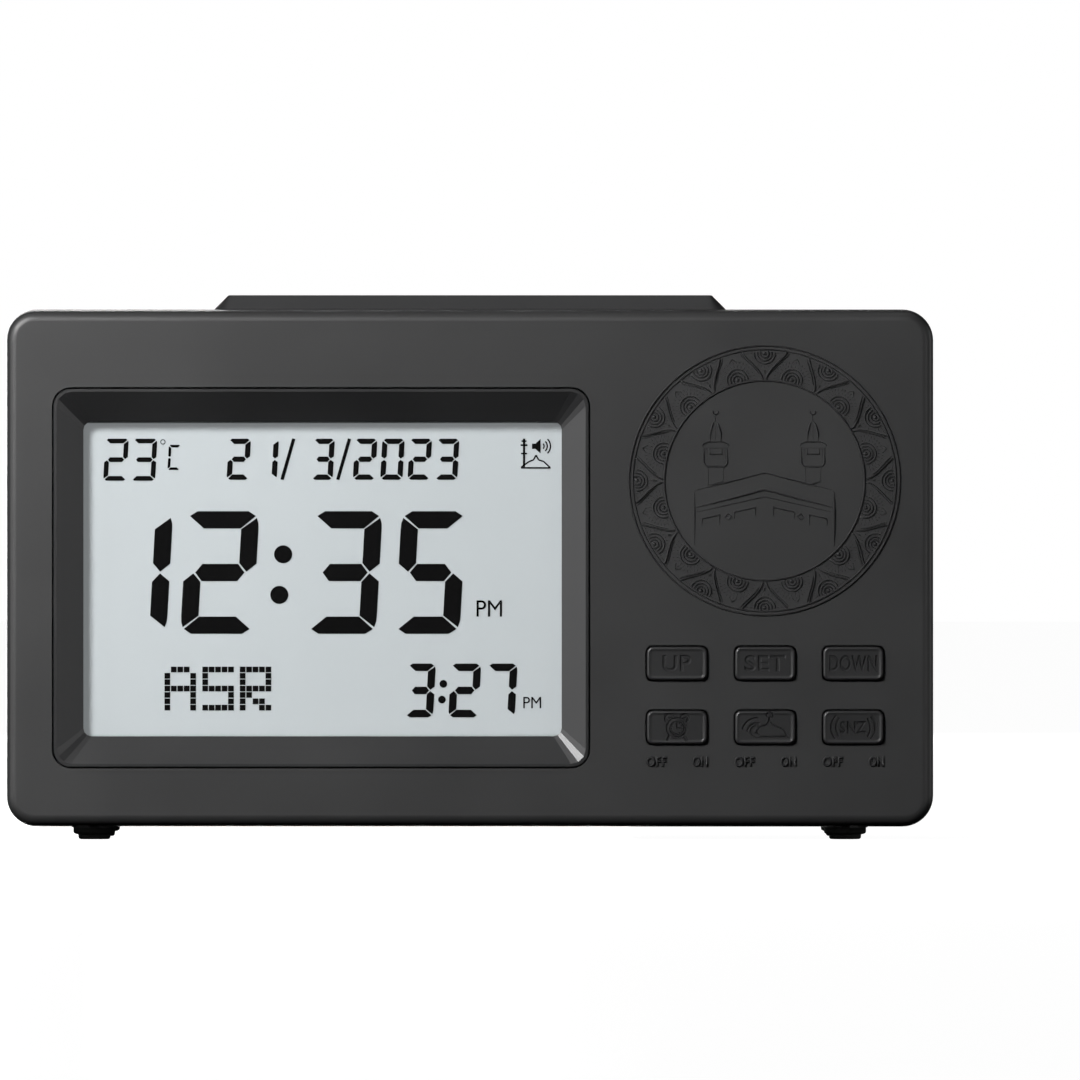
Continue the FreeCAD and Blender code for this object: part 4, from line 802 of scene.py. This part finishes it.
def cut_by(thing, mesh):
    """Takes a closed mesh out of a piece and leaves a plain mesh."""
    cutter = bpy.data.objects.new("cutter", mesh)
    bpy.context.scene.collection.objects.link(cutter)
    cut = thing.modifiers.new("cut", "BOOLEAN")
    cut.operation = "DIFFERENCE"
    cut.solver = "EXACT"
    cut.use_self = True
    cut.object = cutter
    bpy.context.view_layer.update()
    graph = bpy.context.evaluated_depsgraph_get()
    done = bpy.data.meshes.new_from_object(thing.evaluated_get(graph))
    thing.modifiers.clear()
    thing.data = done
    bpy.data.objects.remove(cutter)


def stacked(name, rings, slot, body):
    """Closed piece from outlines with as many points each, each at its own Y."""
    count = len(rings[0][0])
    verts = [(x, y, z) for outline, y in rings for x, z in outline]
    faces = [tuple(range(count)), tuple(range(len(verts) - 1, len(verts) - count - 1, -1))]
    for r in range(len(rings) - 1):
        for i in range(count):
            j = (i + 1) % count
            faces.append((r * count + i, (r + 1) * count + i, (r + 1) * count + j, r * count + j))
    made = piece(name, verts, faces, slot, body)
    turn_outwards(made)
    return made


def alarm_sign():
    """Alarm clock with two bells, feet, hands and twelve marks."""
    lines = [(arc(0, -0.1, 1.55, 0, 360, 20), 0.3), (arc(0, -0.1, 1.12, 0, 360, 16), 0.12)]
    for side in (-1, 1):
        lines.append((arc(side * 1.2, 1.45, 0.62, side * 40 - 95, side * 40 + 95, 8), 0.3))
        lines.append(([(side * 0.62, 1.2), (side * 1.72, 1.9)], 0.22))
        lines.append(([(side * 1.15, -1.35), (side * 1.5, -1.95)], 0.34))
    lines.append(([(0, -0.1), (0, 0.62)], 0.16))
    lines.append(([(0, -0.1), (0.5, -0.1)], 0.16))
    for i in range(12):
        angle = math.radians(30 * i)
        lines.append(([(0.82 * math.sin(angle), 0.82 * math.cos(angle) - 0.1),
                       (0.98 * math.sin(angle), 0.98 * math.cos(angle) - 0.1)], 0.1))
    return lines


def call_sign():
    """Dome of a prayer house with its finial, and waves of sound to the left."""
    dome = smooth_path([(-1.15, -1.0), (-1.25, -0.5), (-0.75, 0.1), (0.1, 0.35), (0.75, 1.05), (1.4, 0.35),
                        (2.6, -0.1), (3.1, -0.6), (3.45, -1.5)], 4)
    lines = [(dome, 0.2), ([(-1.5, -1.5), (3.6, -1.5)], 0.2), ([(0.75, 1.1), (0.75, 1.55)], 0.3)]
    lines.append((arc(0.75, 2.0, 0.5, -130, 130, 10)[::-1], 0.2))
    lines.append((smooth_path([(-1.2, -1.3), (-1.9, -1.0), (-2.0, -0.3), (-1.5, 0.1)], 4), 0.5))
    lines.append((arc(-1.3, -0.9, 1.55, -75, 10, 8), 0.28))
    lines.append((arc(-1.3, -0.9, 2.35, -72, 0, 8), 0.28))
    return lines


def snooze_sign():
    """Two waves on either side of the word."""
    lines = []
    for side in (-1, 1):
        for reach, tall in ((2.75, 1.35), (3.55, 1.7)):
            middle = side * (reach - 2.6)
            lines.append(([(middle + side * 2.6 * math.cos(a), 2.6 * math.sin(a))
                           for a in [math.asin(tall / 2.6) * (i / 5 - 1) for i in range(11)]], 0.24))
    return lines


KEYS = {
    "key_up": (("UP", 0.0047, 0.0027), None),
    "key_set": (("SET", 0.0067, 0.0027), None),
    "key_down": (("DOWN", 0.0078, 0.0027), None),
    "key_alarm": (None, alarm_sign),
    "key_azan": (None, call_sign),
    "key_snooze": (("SNZ", 0.0043, 0.0021), snooze_sign),
}


def keys():
    for name, (lettering, sign) in KEYS.items():
        low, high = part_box(name)
        cx, cz = (low[0] + high[0]) / 2, (low[2] + high[2]) / 2
        rings = []
        for inset, depth in KEY_LIP:
            outline = rounded(cx, cz, KEY_W - 2 * inset, KEY_H - 2 * inset, KEY_CORNER - inset)
            rings.append((outline, KEY_FRONT + depth))
        body = rounded(cx, cz, KEY_W, KEY_H, KEY_CORNER)
        flange = rounded(cx, cz, high[0] - low[0], high[2] - low[2], KEY_CORNER)
        stem = rounded(cx, cz, STEM_SIDE, STEM_SIDE, STEM_CORNER)
        rings += [(body, FLANGE_Y), (flange, FLANGE_Y), (flange, FLANGE_Y + FLANGE_T),
                  (stem, FLANGE_Y + FLANGE_T), (stem, high[1])]
        made = stacked(name + "_cap", rings, "key_black", name)
        if lettering:
            cut_by(made, letter_mesh(*lettering, cx, cz, KEY_FRONT - CUTTER_LEAD,
                                     KEY_FRONT + KEY_DISH + SIGN_DEPTH, -SIGN_THIN, SIGN_DEPTH))
        if sign:
            cut_by(made, groove_mesh(sign(), cx, cz))
        soften(made, 35)
        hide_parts(name)


keys()


def switch_marks():
    """OFF and ON marks moulded low on the face under the lower keys."""
    mesh = bmesh.new()
    for middle in MARK_PLACES:
        for text, offset, width in MARKS:
            word = letter_mesh(text, width, MARK_TALL, px(middle + offset), pz(MARK_Y), FACE_Y - 0.0003,
                               FACE_Y + 0.0002, -0.00004, 0.00016)
            mesh.from_mesh(word)
            bpy.data.meshes.remove(word)
    data = bpy.data.meshes.new("switch_marks")
    mesh.to_mesh(data)
    mesh.free()
    thing = bpy.data.objects.new("switch_marks", data)
    bpy.context.scene.collection.objects.link(thing)
    data.materials.append(MATERIALS["ornament_black"])
    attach(thing, "root")


switch_marks()


def revolved_feet():
    """Stepped rubber feet with softly rounded edges."""
    places = [mount["pos_m"][:2] for mount in frame["record"]["mounts"]]
    profile = [(0.0, 0.0), (0.00225, 0.0), (0.00245, 0.00008), (0.00256, 0.00025), (0.0026, 0.0005),
               (0.0026, 0.00075), (0.0030, 0.00082), (0.0033, 0.00098), (0.0034, 0.0012), (0.0034, 0.00188)]
    low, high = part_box("rubber_feet")
    profile += [(0.0014, 0.0019), (0.0014, high[2]), (0.0, high[2])]
    steps = 48
    verts, faces = [], []
    for x, y in places:
        start = len(verts)
        for r, z in profile:
            for i in range(steps):
                angle = 2 * math.pi * i / steps
                verts.append((x + r * math.cos(angle), y + r * math.sin(angle), z))
        for k in range(len(profile) - 1):
            for i in range(steps):
                j = (i + 1) % steps
                faces.append((start + k * steps + i, start + k * steps + j, start + (k + 1) * steps + j,
                              start + (k + 1) * steps + i))
    feet = piece("feet_soft", verts, faces, "rubber_black", smooth=True)
    turn_outwards(feet, weld=1e-7)
    soften(feet, 40)
    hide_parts("rubber_feet")


revolved_feet()


# Floor and light

FLOOR_HALF = 8


def floor_material():
    """White floor that glows, so that it stays white, with a little gloss."""
    material = bpy.data.materials.new("floor")
    material.use_nodes = True
    tree = material.node_tree
    tree.nodes.clear()
    out = tree.nodes.new("ShaderNodeOutputMaterial")
    matt = tree.nodes.new("ShaderNodeBsdfDiffuse")
    matt.inputs["Color"].default_value = (0.9, 0.9, 0.9, 1)
    glow = tree.nodes.new("ShaderNodeEmission")
    glow.inputs["Color"].default_value = (1, 1, 1, 1)
    glow.inputs["Strength"].default_value = 1.3
    gloss = tree.nodes.new("ShaderNodeBsdfGlossy")
    gloss.inputs["Roughness"].default_value = 0.06
    soft = tree.nodes.new("ShaderNodeMixShader")
    soft.inputs["Fac"].default_value = 0.8
    tree.links.new(matt.outputs[0], soft.inputs[1])
    tree.links.new(glow.outputs[0], soft.inputs[2])
    mix = tree.nodes.new("ShaderNodeMixShader")
    mix.inputs["Fac"].default_value = 0.06
    tree.links.new(soft.outputs[0], mix.inputs[1])
    tree.links.new(gloss.outputs[0], mix.inputs[2])
    tree.links.new(mix.outputs[0], out.inputs[0])
    return material


floor_mesh = bpy.data.meshes.new("floor")
floor_mesh.from_pydata([(x * FLOOR_HALF, y * FLOOR_HALF, 0) for x, y in ((-1, -1), (1, -1), (1, 1), (-1, 1))],
                       [], [(0, 1, 2, 3)])
floor_mesh.materials.append(floor_material())
floor = bpy.data.objects.new("floor", floor_mesh)
bpy.context.scene.collection.objects.link(floor)
floor.visible_glossy = False
floor.visible_diffuse = False

world = bpy.data.worlds.new("world")
bpy.context.scene.world = world
world.use_nodes = True
world.node_tree.nodes["Background"].inputs["Color"].default_value = (1, 1, 1, 1)
world.node_tree.nodes["Background"].inputs["Strength"].default_value = 1.0
world.cycles_visibility.diffuse = False
world.cycles_visibility.glossy = False


def area_light(name, place, aim, width, height, power):
    data = bpy.data.lights.new(name, "AREA")
    data.shape = "RECTANGLE"
    data.size = width
    data.size_y = height
    data.energy = power
    thing = bpy.data.objects.new(name, data)
    bpy.context.scene.collection.objects.link(thing)
    thing.location = place
    thing.rotation_euler = (Vector(aim) - Vector(place)).to_track_quat("-Z", "Y").to_euler()


# Place, aim, width and height in metres, and power in watts
LIGHTS = {
    "key_light": ((-0.25, -0.36, 0.26), (-0.06, 0, 0.07), 0.14, 0.14, 4.1),
    "left_light": ((-0.9, -0.38, 0.12), (0, 0, 0.05), 0.3, 0.5, 1.6),
    "side_light": ((0.6, -0.5, 0.06), (0.07, 0, 0.05), 0.12, 0.35, 0.8),
    "fill_light": ((0.1, -2.2, 0.6), (0, 0, 0.05), 1.6, 1.2, 0.6),
    "back_light": ((-0.4, 1.5, 0.12), (0, 0, 0.05), 0.9, 0.5, 18.0),
    "flank_light": ((1.3, 0.35, 0.2), (0, 0, 0.05), 0.6, 0.6, 2.5),
    "top_light": ((0.0, 0.0, 1.2), (0, 0, 0), 1.0, 0.8, 1.6),
}
for light_name, settings in LIGHTS.items():
    area_light(light_name, *settings)
